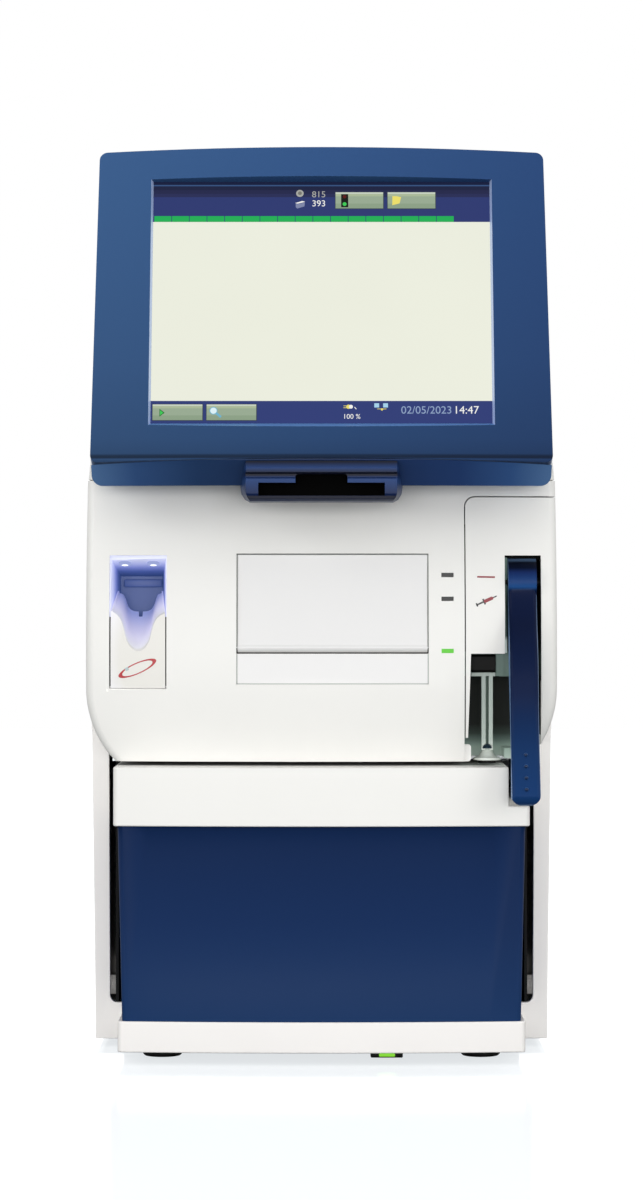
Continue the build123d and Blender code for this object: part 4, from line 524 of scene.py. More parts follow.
def narrow_boss(shape):
    """Keeps the lever's pivot end as narrow as its blade, so that the slot shows dark on both sides."""
    for vertex in shape.verts:
        vertex.co.x = min(BLADE_RIGHT, max(BLADE_LEFT, vertex.co.x))
    bmesh.ops.remove_doubles(shape, verts=shape.verts, dist=1e-5)


def mark_chin(shape):
    """Marks the faces of the chin below the bezel."""
    # The chin's faces get its painted shade.
    for face in shape.faces:
        face.material_index = 1 if face.calc_center_median().z < CHIN_TOP else 0


def shade_inside(shape):
    """Marks the faces of a side panel that look inwards, at the pack."""
    side = math.copysign(1, sum(vertex.co.x for vertex in shape.verts))
    # Faces that look inwards get the plain white, without the panels' painted glow.
    for face in shape.faces:
        face.material_index = 1 if face.normal.x * side < LOOKS_INWARDS else 0


# %% Ends and slot of the reader
TUB_REAR = [(37.8, 300.5), (39.6, 295), (40.5, 289), (39.8, 284.5), (38.2, 282), (35.5, 280.4)]
TUB_FRONT = [(37.0, 300.5), (37.2, 290), (37.0, 284), (36.2, 282), (34.8, 280.4)]
TUB_SECTIONS = ((TUB_REAR, -118), (TUB_REAR, -110), (TUB_FRONT, -145.2))
SLOT_HALF, SLOT_FRONT, SLOT_BACK = 32 * MM, -142 * MM, -112 * MM
SLOT_FLOOR, SLOT_ROOF = 280.8 * MM, 296 * MM


def tub_planes():
    """Planes of the tub's two ends: the side faces of a hull round its sections."""
    tub = bmesh.new()
    for outline, y in TUB_SECTIONS:
        for x, z in outline:
            for side in (-1, 1):
                tub.verts.new((side * x * MM, y * MM, z * MM))
    hull = bmesh.ops.convex_hull(tub, input=tub.verts)
    faces = [item for item in hull["geom"] if isinstance(item, bmesh.types.BMFace)]
    planes = [(face.calc_center_median().copy(), face.normal.copy())
              for face in faces if abs(face.normal.x) > 0.05]
    tub.free()
    return planes


def round_reader(shape):
    """Cuts the reader's ends to a tub, drawn in at the front and rounded below, and marks its slot."""
    for centre, normal in tub_planes():
        cut = bmesh.ops.bisect_plane(shape, geom=everything(shape), plane_co=centre, plane_no=normal,
                                     clear_outer=True, dist=1e-6)
        rim = [item for item in cut["geom_cut"] if isinstance(item, bmesh.types.BMEdge)]
        if rim:
            bmesh.ops.holes_fill(shape, edges=rim, sides=0)
    bmesh.ops.remove_doubles(shape, verts=shape.verts, dist=1e-5)
    # Faces inside the slot get black, as painted shade.
    for face in shape.faces:
        x, y, z = face.calc_center_median()
        inside = abs(x) < SLOT_HALF and SLOT_FRONT < y < SLOT_BACK and SLOT_FLOOR < z < SLOT_ROOF
        face.material_index = 1 if inside else 0


# %% A helper that softens the edges of a solid
RESHAPED = {
    "head_bezel": chamfer_opening, "head_rear_shell": mark_chin, "reader_housing": round_reader,
    "mixer_housing": draft_housing, "mixer_cradle": open_funnel, "inlet_handle": narrow_boss,
    "left_side_panel": shade_inside, "right_side_panel": shade_inside,
}
MORE_FINISHES = {
    "head_bezel": (side_chamfer_painted_highlight, foot_chamfer_painted_highlight), "head_rear_shell": (chin_painted_shade,),
    "reader_housing": (black_abs,), "mixer_housing": (dark_gap, panel_abs),
    "left_side_panel": (panel_abs,), "right_side_panel": (panel_abs,),
}
BODY_OF = {node: body for body, nodes in frame["record"]["behaviour"]["bodies"].items() for node in nodes}
FLAT_ANGLE, SHARP_ANGLE = math.radians(0.6), math.radians(28.0)


def softened(node, material, radius):
    """A copy of a solid with rounded edges that stands for it. The radius is in millimetres."""
    shape = bmesh.new()
    shape.from_mesh(frame["nodes"][node].data)
    bmesh.ops.remove_doubles(shape, verts=shape.verts, dist=1e-6)
    bmesh.ops.dissolve_limit(shape, angle_limit=FLAT_ANGLE, verts=shape.verts, edges=shape.edges)
    if node in RESHAPED:
        RESHAPED[node](shape)
    for face in shape.faces:
        face.smooth = True
    mesh = bpy.data.meshes.new(node + "_soft")
    shape.to_mesh(mesh)
    shape.free()
    for each in (material, *MORE_FINISHES.get(node, ())):
        mesh.materials.append(each)
    piece = bpy.data.objects.new(node + "_soft", mesh)
    scene.collection.objects.link(piece)
    bevel = piece.modifiers.new("soft_edges", "BEVEL")
    bevel.width, bevel.segments = radius * MM, 2
    bevel.limit_method, bevel.angle_limit = "ANGLE", SHARP_ANGLE
    bevel.use_clamp_overlap = True
    flat = piece.modifiers.new("flat_faces_stay_flat", "WEIGHTED_NORMAL")
    flat.mode, flat.weight, flat.keep_sharp = "FACE_AREA", 100, True
    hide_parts(node)
    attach(piece, BODY_OF[node])


print("reshaped:", ", ".join(RESHAPED))

# %% The softened covers
SOFT = {
    "front_cover": (white_abs, 0.5), "inlet_cover": (white_abs, 0.5), "left_side_panel": (side_panel_painted_glow, 0.8),
    "right_side_panel": (side_panel_painted_glow, 0.8), "base_sill": (panel_abs, 0.7), "pack_cap": (white_abs, 0.7),
    "cassette_door": (door_abs, 0.3), "head_bezel": (bezel_paint_shaded, 0.6), "head_rear_shell": (head_paint_shaded, 0.9),
    "reader_housing": (reader_painted_reflection, 0.5), "top_cover": (white_abs, 0.8), "rear_cover": (white_abs, 0.5),
    "inlet_handle": (lever_painted_shade, 0.7), "inlet_bracket": (bracket_painted_shade, 0.4), "arm_block": (black_abs, 0.4),
    "arm_column": (rail_plastic_shaded, 0.2), "mixer_cradle": (cradle_painted_light, 0.8), "mixer_housing": (recess_painted_light, 0.3),
    "printer_tray": (grey_abs, 0.3), "printer_lid": (grey_abs, 0.5), "release_button": (button_blue, 0.3),
    "power_inlet": (black_abs, 0.3), "power_switch": (black_abs, 0.5), "rubber_feet": (rubber, 0.3),
}
for node, (material, radius) in SOFT.items():
    softened(node, material, radius)
print("softened:", len(SOFT))

# %% Finishes of the solids that stay as they are
# The handle's pin gets the blackened sheet and the probe the dull grey-green steel: both are painted shade in
# the slot.
PLAIN = {
    "door_hinge_pin": ground_steel, "cassette_bay": black_abs, "sensor_cassette": grey_abs,
    "status_lenses": smoked_lens, "ready_lens": green_lens, "mixer_lamps": lamp_rim, "handle_pin": dark_sheet,
    "mixer_shaft": ground_steel, "mixer_motor": zinc_sheet, "arm_gasket": rubber, "inlet_probe": probe_steel_painted_shade,
    "arm_pin": ground_steel, "touch_glass": screen_glass, "display_module": zinc_sheet,
    "reader_module": black_abs, "paper_roll": thermal_paper, "platen_roller": rubber, "fan_frame": black_abs,
    "fan_rotor": black_abs, "data_ports": zinc_sheet, "fluid_manifold": pale_grey, "fluid_tubes": silicone,
    "pump_housing": grey_abs, "pump_rotor": pale_grey, "optics_module": milled_aluminium,
    "power_supply": zinc_sheet, "battery_pack": black_abs, "mainboard": board_green,
    "floor_plate": zinc_sheet, "pack_runners": black_abs, "chassis_walls": dark_sheet,
    "chassis_shelf": zinc_sheet, "rear_bulkhead": zinc_sheet, "reagent_pouches": foil,
}
for node, material in PLAIN.items():
    slots = frame["nodes"][node].data.materials
    slots.clear()
    slots.append(material)
print("left as they are:", len(PLAIN))

# %% [markdown]
# ## Repeats by Geometry Nodes
# Cells, bumps, screws, ports and ribs repeat. One helper sets a unit shape on every place of a list: the
# unit is made by nodes from named sizes, so that one number changes all of them. The result is baked to a
# plain mesh.


# %% Helpers that bake a node tree into a piece
def baked_mesh(piece):
    """Mesh of a piece with its modifiers applied."""
    return bpy.data.meshes.new_from_object(piece.evaluated_get(bpy.context.evaluated_depsgraph_get()))


def grown(name, base, sizes, shape, material, body):
    """Runs the node tree that shape() draws on a base mesh and keeps the result as a plain mesh."""
    tree = bpy.data.node_groups.new(name, "GeometryNodeTree")
    tree.interface.new_socket("Geometry", in_out="INPUT", socket_type="NodeSocketGeometry")
    sockets = {}
    for key, value in sizes.items():
        kind = "NodeSocketInt" if isinstance(value, int) else "NodeSocketFloat"
        sockets[key] = tree.interface.new_socket(key, in_out="INPUT", socket_type=kind)
    tree.interface.new_socket("Geometry", in_out="OUTPUT", socket_type="NodeSocketGeometry")
    start = tree.nodes.new("NodeGroupInput")
    made = shape(tree, start.outputs)
    whole = add(tree, "GeometryNodeRealizeInstances", {0: made})
    painted = add(tree, "GeometryNodeSetMaterial", {"Geometry": whole.outputs[0], "Material": material})
    add(tree, "NodeGroupOutput", {0: painted.outputs[0]})
    piece = bpy.data.objects.new(name, base)
    scene.collection.objects.link(piece)
    modifier = piece.modifiers.new(name, "NODES")
    modifier.node_group = tree
    for key, value in sizes.items():
        modifier[sockets[key].identifier] = value
    piece.data = baked_mesh(piece)
    piece.modifiers.clear()
    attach(piece, body)
    return piece


def places_mesh(name, places):
    """Mesh of loose points."""
    mesh = bpy.data.meshes.new(name)
    mesh.from_pydata([tuple(place) for place in places], [], [])
    return mesh


def on_points(tree, points, unit, turn=(0, 0, 0)):
    """Sets a unit shape on every point, all turned alike."""
    return add(tree, "GeometryNodeInstanceOnPoints",
               {"Points": points, "Instance": unit, "Rotation": turn}).outputs[0]


def block(tree, width, depth, height):
    """A box of three sizes, each a number or a socket."""
    size = add(tree, "ShaderNodeCombineXYZ", {"X": width, "Y": depth, "Z": height})
    return add(tree, "GeometryNodeMeshCube", {"Size": size.outputs[0]}).outputs[0]


def calculated(tree, operation, first, second):
    """Result of one calculation on two numbers or sockets."""
    return add(tree, "ShaderNodeMath", {0: first, 1: second}, operation=operation).outputs[0]


# %% [markdown]
# ## The blue box of the solution pack
# The box follows a plain rule: a rounded rectangle in plan whose front bows on a large circle, drawn down
# to the bottom and drawn in a little on its way. A node tree writes that rule out, and the wall and the
# rounded lower rim are added by modifiers.

# %% Node tree of the pack's box
pack_low, pack_high = (Vector(corner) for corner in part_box("pack_shell"))
PORT_PLATE, PACK_WALL, PACK_RIM = 3 * MM, 2.5 * MM, 3.0 * MM
PACK = {
    "Width": pack_high.x - pack_low.x, "Depth": pack_high.y - pack_low.y - PORT_PLATE,
    "Height": pack_high.z - pack_low.z, "Corner": 2.5 * MM, "Bow": 1000 * MM, "Draw in": 2.2 * MM, "Cuts": 14,
}


def pack_shape(tree, size):
    """Rounded rectangle, bowed at its front, drawn down and drawn in."""
    plan = add(tree, "GeometryNodeCurvePrimitiveQuadrilateral",
               {"Width": size["Width"], "Height": size["Depth"]})
    plan = add(tree, "GeometryNodeFilletCurve",
               {"Curve": plan.outputs[0], "Count": 6, "Radius": size["Corner"]}, mode="POLY")
    plan = add(tree, "GeometryNodeSubdivideCurve", {"Curve": plan.outputs[0], "Cuts": size["Cuts"]})
    place = add(tree, "ShaderNodeSeparateXYZ", {0: add(tree, "GeometryNodeInputPosition").outputs[0]})
    across, along, height = place.outputs
    # A circle of a large radius falls back by the square of the way across over twice the radius.
    back = calculated(tree, "DIVIDE", calculated(tree, "MULTIPLY", across, across),
                      calculated(tree, "MULTIPLY", size["Bow"], 2.0))
    push = calculated(tree, "MULTIPLY", back, calculated(tree, "LESS_THAN", along, 0.0))
    bow = add(tree, "ShaderNodeCombineXYZ", {"Y": push})
    plan = add(tree, "GeometryNodeSetPosition", {"Geometry": plan.outputs[0], "Offset": bow.outputs[0]})
    face = add(tree, "GeometryNodeFillCurve", {"Curve": plan.outputs[0]}, mode="NGONS")
    drop = add(tree, "ShaderNodeCombineXYZ", {"Z": -1.0})
    walls = add(tree, "GeometryNodeExtrudeMesh",
                {"Mesh": face.outputs[0], "Offset": drop.outputs[0], "Offset Scale": size["Height"],
                 "Individual": False}, mode="FACES")
    lean = calculated(tree, "DIVIDE", size["Draw in"], size["Height"])
    share = calculated(tree, "DIVIDE", across, calculated(tree, "MULTIPLY", size["Width"], 0.5))
    shift = calculated(tree, "MULTIPLY", calculated(tree, "MULTIPLY", lean, share), height)
    inwards = add(tree, "ShaderNodeCombineXYZ", {"X": shift})
    return add(tree, "GeometryNodeSetPosition",
               {"Geometry": walls.outputs[0], "Offset": inwards.outputs[0]}).outputs[0]


# %% Pack shell
pack_box = grown("pack_shell_box", places_mesh("pack_start", []), PACK, pack_shape, pack_blue_shaded,
                 "solution_pack")
shape = bmesh.new()
shape.from_mesh(pack_box.data)
shape.transform(Matrix.Translation((0, pack_low.y + PACK["Depth"] / 2, pack_high.z)))
bmesh.ops.remove_doubles(shape, verts=shape.verts, dist=1e-6)
bmesh.ops.recalc_face_normals(shape, faces=shape.faces)
floor_face = min(shape.faces, key=lambda face: face.calc_center_median().z)
if floor_face.normal.z > 0:
    bmesh.ops.reverse_faces(shape, faces=shape.faces)
for face in shape.faces:
    face.smooth = True
shape.to_mesh(pack_box.data)
shape.free()
rim = pack_box.modifiers.new("lower_rim", "BEVEL")
rim.width, rim.segments, rim.harden_normals = PACK_RIM, 5, True
rim.limit_method, rim.angle_limit = "ANGLE", math.radians(60)
wall = pack_box.modifiers.new("wall", "SOLIDIFY")
wall.thickness, wall.offset = PACK_WALL, -1.0
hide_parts("pack_shell")
print("pack box:", [round(length / MM) for length in pack_box.dimensions], "mm")

# %% Ports at the rear of the pack
PORTS = {"Bore": 3.0 * MM, "Rim": 4.4 * MM, "Length": 3.0 * MM}
PORT_COUNT, PORT_PITCH = 6, 12 * MM
port_y, port_z = pack_high.y - PORT_PLATE / 2, (pack_low.z + pack_high.z) / 2


def port_shape(tree, size):
    """A short tube at every place."""
    outside = add(tree, "GeometryNodeMeshCylinder",
                  {"Vertices": 32, "Radius": size["Rim"], "Depth": size["Length"]})
    through = calculated(tree, "MULTIPLY", size["Length"], 2.0)
    inside = add(tree, "GeometryNodeMeshCylinder", {"Vertices": 32, "Radius": size["Bore"], "Depth": through})
    tube = add(tree, "GeometryNodeMeshBoolean", {"Mesh 1": outside.outputs[0], "Mesh 2": inside.outputs[0]},
               operation="DIFFERENCE")
    return on_points(tree, size["Geometry"], tube.outputs["Mesh"], (math.radians(90), 0, 0))


port_places = [((i - (PORT_COUNT - 1) / 2) * PORT_PITCH, port_y, port_z) for i in range(PORT_COUNT)]
grown("pack_ports", places_mesh("port_places", port_places), PORTS, port_shape, pale_grey, "solution_pack")
print("ports:", len(port_places))

# %% [markdown]
# ## The picture on the screen
# The display shows two dark blue bars, a row of green cells and a cream field. The picture lies just in
# front of the glass, and every part of it gives its own light. Places are measured in millimetres from the
# middle of the visible picture's lower edge: across, and up along the tilted glass.

# %% Points on the tilted glass
PICTURE_LIFT, LAYER = 0.05, 0.03


def on_glass(across, up, level=0.0):
    """Point in front of the glass, for a place in millimetres on the picture."""
    return (Vector((across * MM, 0, 0)) + UP * (glass_low + GLASS_MARGIN + up * MM)
            + OUT * (glass_front + (PICTURE_LIFT + LAYER * level) * MM))


# %% Helpers for flat marks
def rectangle(x0, x1, y0, y1):
    """Corners of a rectangle, anticlockwise."""
    return [(x0, y0), (x1, y0), (x1, y1), (x0, y1)]


def disc(x, y, radius, count=28, squash=1.0):
    """Outline of a disc, or of an oval with a squash below one."""
    angles = [2 * math.pi * i / count for i in range(count)]
    return [(x + radius * math.cos(angle), y + squash * radius * math.sin(angle)) for angle in angles]


def turned(points, x, y, degrees):
    """Points turned about their origin and moved to a place."""
    c, s = math.cos(math.radians(degrees)), math.sin(math.radians(degrees))
    return [(x + a * c - b * s, y + a * s + b * c) for a, b in points]


def made_piece(name, mesh, material, body):
    """Makes a mesh a piece of one material that moves with a body."""
    mesh.materials.clear()
    mesh.materials.append(material)
    piece = bpy.data.objects.new(name, mesh)
    scene.collection.objects.link(piece)
    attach(piece, body)


def kept_shape(name, shape, material, body):
    """Makes a bmesh a piece of one material that moves with a body."""
    mesh = bpy.data.meshes.new(name)
    shape.to_mesh(mesh)
    shape.free()
    made_piece(name, mesh, material, body)


def flat_marks(name, outlines, place, material, body):
    """One piece of flat marks: each outline becomes a face whose points are set in space by place()."""
    shape = bmesh.new()
    for outline in outlines:
        shape.faces.new([shape.verts.new(place(a, b)) for a, b in outline])
    bmesh.ops.triangulate(shape, faces=shape.faces)
    kept_shape(name, shape, material, body)


def screen_marks(name, outlines, material, level):
    """Flat marks on the screen, at a level in front of the glass."""
    flat_marks(name, outlines, lambda a, b: on_glass(a, b, level), material, "housing")


# %% Bars and field
full = picture_half / MM
tall = picture_height / MM
BOTTOM_BAR, FIELD_TOP, CELLS_TOP = 11.7, 107.0, 110.2


def screen_band(name, bottom, top, material, level):
    """A band across the whole picture."""
    screen_marks(name, [rectangle(-full, full, bottom, top)], material, level)


screen_band("screen_bottom_bar", -FOOT_DROP / MM, BOTTOM_BAR, lit("lcd_blue", "#2F3C76"), 0)
screen_band("screen_top_bar", FIELD_TOP, tall, lit("lcd_blue_upper", "#2C3870"), 0)
screen_band("screen_field", BOTTOM_BAR, FIELD_TOP, lit("lcd_cream", "#EEF0E1", 0.97), 0)
# The top bar is darker under the bezel's edge, with one brighter line of reflection.
SHADE = (("#272C55", 8.2), ("#22264A", 6.4), ("#1B2140", 4.4), ("#36527F", 2.3), ("#141C3C", 1.6))
for step, (code, depth) in enumerate(SHADE):
    screen_band(f"screen_upper_shade_{step}", tall - depth, tall, lit(f"lcd_shaded_{step}", code), 1 + step)
print("bands on the screen:", 3 + len(SHADE))

# %% Green cells by nodes
CELLS = {"Width": 8.55 * MM, "Height": 3.1 * MM, "Thickness": 0.04 * MM}
CELL_COUNT, CELL_LEFT, CELL_RIGHT = 17, -84.4, 66.8
cell_pitch = (CELL_RIGHT - CELL_LEFT) / CELL_COUNT


def cell_shape(tree, size):
    """A thin tile at every place, leaning with the screen."""
    tile = block(tree, size["Width"], size["Thickness"], size["Height"])
    return on_points(tree, size["Geometry"], tile, (-TILT, 0, 0))


cell_places = [on_glass(CELL_LEFT + (i + 0.5) * cell_pitch, (FIELD_TOP + CELLS_TOP) / 2, 1)
               for i in range(CELL_COUNT)]
grown("screen_cells", places_mesh("cell_places", cell_places), CELLS, cell_shape,
      lit("lcd_green", "#1FAE55"), "housing")
print("green cells:", CELL_COUNT)

# %% Buttons
BUTTONS = [
    # left, right, lower and upper edge
    (6.8, 31.5, 113.9, 123.3), (33.1, 57.8, 113.9, 123.3),
    (-84.1, -58.7, 1.2, 10.1), (-57.3, -32.0, 1.2, 10.1),
]
BUTTON_BANDS = (("#8CA086", 0.0, 0.3), ("#98AA92", 0.3, 0.75), ("#A9B898", 0.75, 0.9), ("#C8D2C2", 0.9, 1.0))
RIM_LEFT, RIM_RIGHT, RIM_BELOW, RIM_ABOVE = 0.3, 0.4, 0.4, 0.3


def button_bands(first, last):
    """A band of every button inside its dark edge, between two shares of its height."""
    bands = []
    for left, right, low, high in BUTTONS:
        foot, height = low + RIM_BELOW, high - low - RIM_BELOW - RIM_ABOVE
        bands.append(rectangle(left + RIM_LEFT, right - RIM_RIGHT,
                               foot + first * height, foot + last * height))
    return bands


edges = [rectangle(*button) for button in BUTTONS]
screen_marks("screen_button_edges", edges, lit("lcd_olive_edge", "#3A4254"), 4)
for band, (code, first, last) in enumerate(BUTTON_BANDS):
    screen_marks(f"screen_buttons_{band}", button_bands(first, last), lit(f"lcd_olive_{band}", code), 5)
print("buttons:", len(BUTTONS))

# %% Colours of the pictograms
LCD_COLOURS = {
    "black": "#11160F", "white": "#F2F2EE", "yellow": "#EBDD6A", "bright_green": "#3FCB57", "red": "#5A1512",
    "grey": "#A9AAA4", "pale_blue": "#A5D2EA", "deep_green": "#1C6B2C", "steel_blue": "#6FB2CC",
    "ice": "#DDF1F6", "dark_grey": "#77776F", "box_blue": "#7E86A8", "soft_blue": "#8FA3C4",
}
LCD = {name: lit("lcd_" + name, code) for name, code in LCD_COLOURS.items()}
print("colours on the screen:", len(LCD))

# %% Pictograms
LENS = (-53.6, 6.5)
COIN_X = -10.9
LIGHT_X = 11.65
folder = [(35.7, 116.0), (39.4, 117.0), (40.2, 120.4), (37.8, 120.9), (35.8, 120.9)]
play_edge = [(-80.4, 3.4), (-77.8, 5.45), (-80.4, 7.5)]
play = [(-80.1, 4.1), (-78.5, 5.45), (-80.1, 6.8)]
handle = turned(rectangle(1.5, 5.0, -0.6, 0.6), *LENS, -42)
box_front = [(-13.0, 117.0), (-12.2, 116.6), (-8.4, 117.5), (-8.6, 115.4), (-12.2, 114.2), (-13.0, 115.0)]
box_top = [(-13.2, 117.2), (-9.6, 118.3), (-8.2, 117.8), (-12.2, 116.8)]
plug = [disc(13.4, 8.6, 1.1), rectangle(10.9, 12.6, 8.9, 9.2), rectangle(10.9, 12.6, 7.9, 8.2)]
plug_cord = turned(rectangle(0, 1.4, -0.2, 0.2), 16.4, 8.4, -50)
stations = [rectangle(x, x + 2.4, 8.2, 10.4) for x in (26.2, 30.6)]
link = [disc(30.0, 7.2, 0.6), rectangle(27.6, 29.4, 7.3, 7.6), rectangle(30.6, 32.2, 7.3, 7.6)]
PICTOGRAMS = {
    # name after screen_: outlines, colour, level in front of the glass
    "light_case": ([rectangle(9.9, 13.5, 114.9, 122.0)], "black", 6),
    "light_green": ([disc(LIGHT_X, 116.6, 1.0)], "bright_green", 7),
    "light_red": ([disc(LIGHT_X, 120.6, 0.9)], "red", 7),
    "folder": ([folder], "yellow", 6),
    "play": ([play], "bright_green", 6),
    "play_edge": ([play_edge], "deep_green", 5.5),
    "magnifier_rim": ([disc(*LENS, 2.0), handle], "steel_blue", 6),
    "magnifier_lens": ([disc(*LENS, 1.6)], "ice", 7),
    "coin": ([disc(COIN_X, 122.4, 1.9)], "grey", 5),
    "coin_middle": ([disc(COIN_X, 122.5, 1.0)], "dark_grey", 6),
    "box_front": ([box_front], "box_blue", 5),
    "box_top": ([box_top], "white", 6),
    "plug": (plug, "yellow", 5),
    "plug_body": ([disc(14.6, 8.6, 1.0), plug_cord], "white", 6),
    "stations": (stations, "pale_blue", 5),
    "station_link": (link, "yellow", 5),
}
for name, (outlines, hue, level) in PICTOGRAMS.items():
    screen_marks("screen_" + name, outlines, LCD[hue], level)
print("pictograms:", len(PICTOGRAMS))


# %% Numbers on the screen
FIGURE_SHARE, NUMBER_LEVEL = 0.7, 6


def number(name, text, across, up, height, hue):
    """A plain number on the screen: its lower left corner and the height of its figures in millimetres."""
    curve = bpy.data.curves.new(name, "FONT")
    curve.body, curve.size = text, height / FIGURE_SHARE
    writer = bpy.data.objects.new(name + "_writer", curve)
    scene.collection.objects.link(writer)
    mesh = baked_mesh(writer)
    bpy.data.objects.remove(writer)
    for vertex in mesh.vertices:
        vertex.co = on_glass(across + vertex.co.x, up + vertex.co.y, NUMBER_LEVEL)
    made_piece(name, mesh, LCD[hue], "housing")


number("screen_count_upper", "815", -4.9, 120.3, 3.3, "grey")
number("screen_count_lower", "393", -4.9, 115.4, 3.3, "white")
number("screen_charge", "100 %", 10.6, 2.3, 2.5, "white")
number("screen_day", "02/05/2023", 39.4, 5.0, 3.9, "soft_blue")
number("screen_hour", "14:47", 65.5, 5.0, 4.0, "white")

# %% [markdown]
# ## Marks on the covers
# A red ring is printed on the mixer's cradle, and a red line and a small syringe beside the inlet's lever.
# Ink on a curved face follows it, so each mark's points are dropped on the solid along the view from the
# front.

# %% Helpers that drop marks on a cover
trees = {}


def dropped_on(node, lift=0.08):
    """A function that drops (x, z) in millimetres onto a solid from the front."""
    if node not in trees:
        mesh = frame["nodes"][node].data
        trees[node] = BVHTree.FromPolygons([v.co for v in mesh.vertices], [p.vertices for p in mesh.polygons])

    def place(x, z):
        hit = trees[node].ray_cast(Vector((x * MM, -0.5, z * MM)), Vector((0, 1, 0)))[0]
        return hit - Vector((0, lift * MM, 0))

    return place


def strip_between(outer, inner):
    """Quads between two closed outlines with the same number of points."""
    count = len(outer)
    return [[outer[i], outer[(i + 1) % count], inner[(i + 1) % count], inner[i]] for i in range(count)]


def ink(name, code):
    """Ink of a screen print, with hardly any grain."""
    return finish(name + "_screen_print_ink", code, 0.35, grain=0.2, depth=0.004)


# %% Ring on the mixer's cradle
RING = (-92.7, 197.6, 23.9)
outer = turned(disc(0, 0, 10.4, 72, 0.27), *RING)
inner = turned(disc(0, 0, 8.3, 72, 0.272), *RING)
square = turned(rectangle(-0.9, 0.9, -0.8, 0.8), -98.0, 197.2, RING[2])
flat_marks("ring_mark", strip_between(outer, inner), dropped_on("mixer_cradle"), ink("red", "#B0101E"),
           "rocking_mixer")
flat_marks("ring_mark_square", [square], dropped_on("mixer_cradle", 0.12), ink("pale_blue", "#AEC2C4"),
           "rocking_mixer")
print("ring's turn:", RING[2], "degrees")

# %% Line and syringe beside the inlet
SYRINGE = (81.9, 231.2, 24)
dark_red_ink, black_ink = ink("dark_red", "#8C2430"), ink("black", "#20201F")
line = rectangle(-4.5, 4.5, -0.42, 0.42)
barrel = [(0, -0.85), (4.4, -0.85), (5.0, -0.3), (5.0, 0.3), (4.4, 0.85), (0, 0.85)]
plunger = [rectangle(-3.6, 0, -0.4, 0.4), rectangle(-4.4, -3.6, -0.9, 0.9), rectangle(-0.5, 0.35, -1.5, 1.5)]
INLET_MARKS = {
    # name: outlines, where their origin goes and their turn in degrees, ink
    "line_mark": ([line], (82.9, 243.6, -1), dark_red_ink),
    "syringe_barrel": ([barrel], SYRINGE, dark_red_ink),
    "syringe_plunger": (plunger, SYRINGE, black_ink),
    "syringe_needle": ([rectangle(5.0, 6.9, -0.3, 0.3)], SYRINGE, black_ink),
}
for name, (outlines, spot, material) in INLET_MARKS.items():
    flat_marks(name, [turned(outline, *spot) for outline in outlines], dropped_on("inlet_cover"), material,
               "housing")
print("marks beside the inlet:", len(INLET_MARKS))

# %% [markdown]
# ## Small things
# Four bumps on the lever tell the thumb where to press. Pan-head screws close the rear. Ribs on the
# printer's lid give a grip. Bars with rounded edges make the small green lamp under the sill, a ledge in
# the mixer's recess and the edges that show in the lever's slot: the cheek's edge with painted light, and a
# black sheet of painted shade on the slot's right wall.

# %% Bumps on the lever
BUMPS = {"Radius": 1.15 * MM}
BUMP_X, BUMP_RISES, BUMP_SINK = 101.3, (155.1, 149.5, 143.9, 138.3), 0.15


def bump_shape(tree, size):
    """A small ball, half sunk, at every place."""
    ball = add(tree, "GeometryNodeMeshUVSphere", {"Segments": 20, "Rings": 12, "Radius": size["Radius"]})
    smooth = add(tree, "GeometryNodeSetShadeSmooth", {0: ball.outputs[0]})
    return on_points(tree, size["Geometry"], smooth.outputs[0])


on_lever = dropped_on("inlet_handle", -BUMP_SINK)
bump_places = [on_lever(BUMP_X, z) for z in BUMP_RISES]
grown("lever_bumps", places_mesh("bump_places", bump_places), BUMPS, bump_shape, bump_painted_highlight, "inlet_lever")
print("bumps:", len(bump_places))

# %% Lamps of the mixer
LAMPS_IN_CEILING = {"Radius": 2.05 * MM, "Height": 0.5 * MM}
LENS_SETBACK, LENS_DROP, LENS_LEAN = 0.8 * MM, 0.5 * MM, math.radians(-14)
low, high = (Vector(corner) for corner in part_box("mixer_lamps"))
lamp_half = (high.y - low.y) / 2
lamp_places = [(x, (low.y + high.y) / 2 + LENS_SETBACK, (low.z + high.z) / 2 - LENS_DROP)
               for x in (low.x + lamp_half, high.x - lamp_half)]


def lamp_shape(tree, size):
    """A low dome at every place."""
    dome = add(tree, "GeometryNodeMeshUVSphere", {"Segments": 28, "Rings": 14, "Radius": size["Radius"]})
    squash = add(tree, "ShaderNodeCombineXYZ",
                 {"X": 1.0, "Y": 1.0, "Z": calculated(tree, "DIVIDE", size["Height"], size["Radius"])})
    dome = add(tree, "GeometryNodeTransform", {"Geometry": dome.outputs[0], "Scale": squash.outputs[0]})
    smooth = add(tree, "GeometryNodeSetShadeSmooth", {0: dome.outputs[0]})
    return on_points(tree, size["Geometry"], smooth.outputs[0], (LENS_LEAN, 0, 0))


grown("mixer_lamp_lenses", places_mesh("lamp_places", lamp_places), LAMPS_IN_CEILING, lamp_shape, lamp_lens,
      "housing")
print("lamps of the mixer:", len(lamp_places))

# %% Screws of the rear cover
SCREW_REACH, SCREW_TURN = 12 * MM, math.radians(20)
SCREW = {"Radius": 3.2 * MM, "Height": 2.0 * MM, "Slot length": 3.4 * MM, "Slot width": 0.8 * MM}
screw_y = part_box("housing_screws")[1][1] - SCREW["Height"] / 2
groups = []
for vertex in frame["nodes"]["housing_screws"].data.vertices:
    near = next((group for group in groups if (group[0].xz - vertex.co.xz).length < SCREW_REACH), None)
    if near:
        near.append(vertex.co)
    else:
        groups.append([vertex.co])


def middle_of(values):
    """Middle between the smallest and the largest value."""
    return (min(values) + max(values)) / 2


screw_places = [(middle_of([c.x for c in group]), screw_y, middle_of([c.z for c in group]))
                for group in groups]


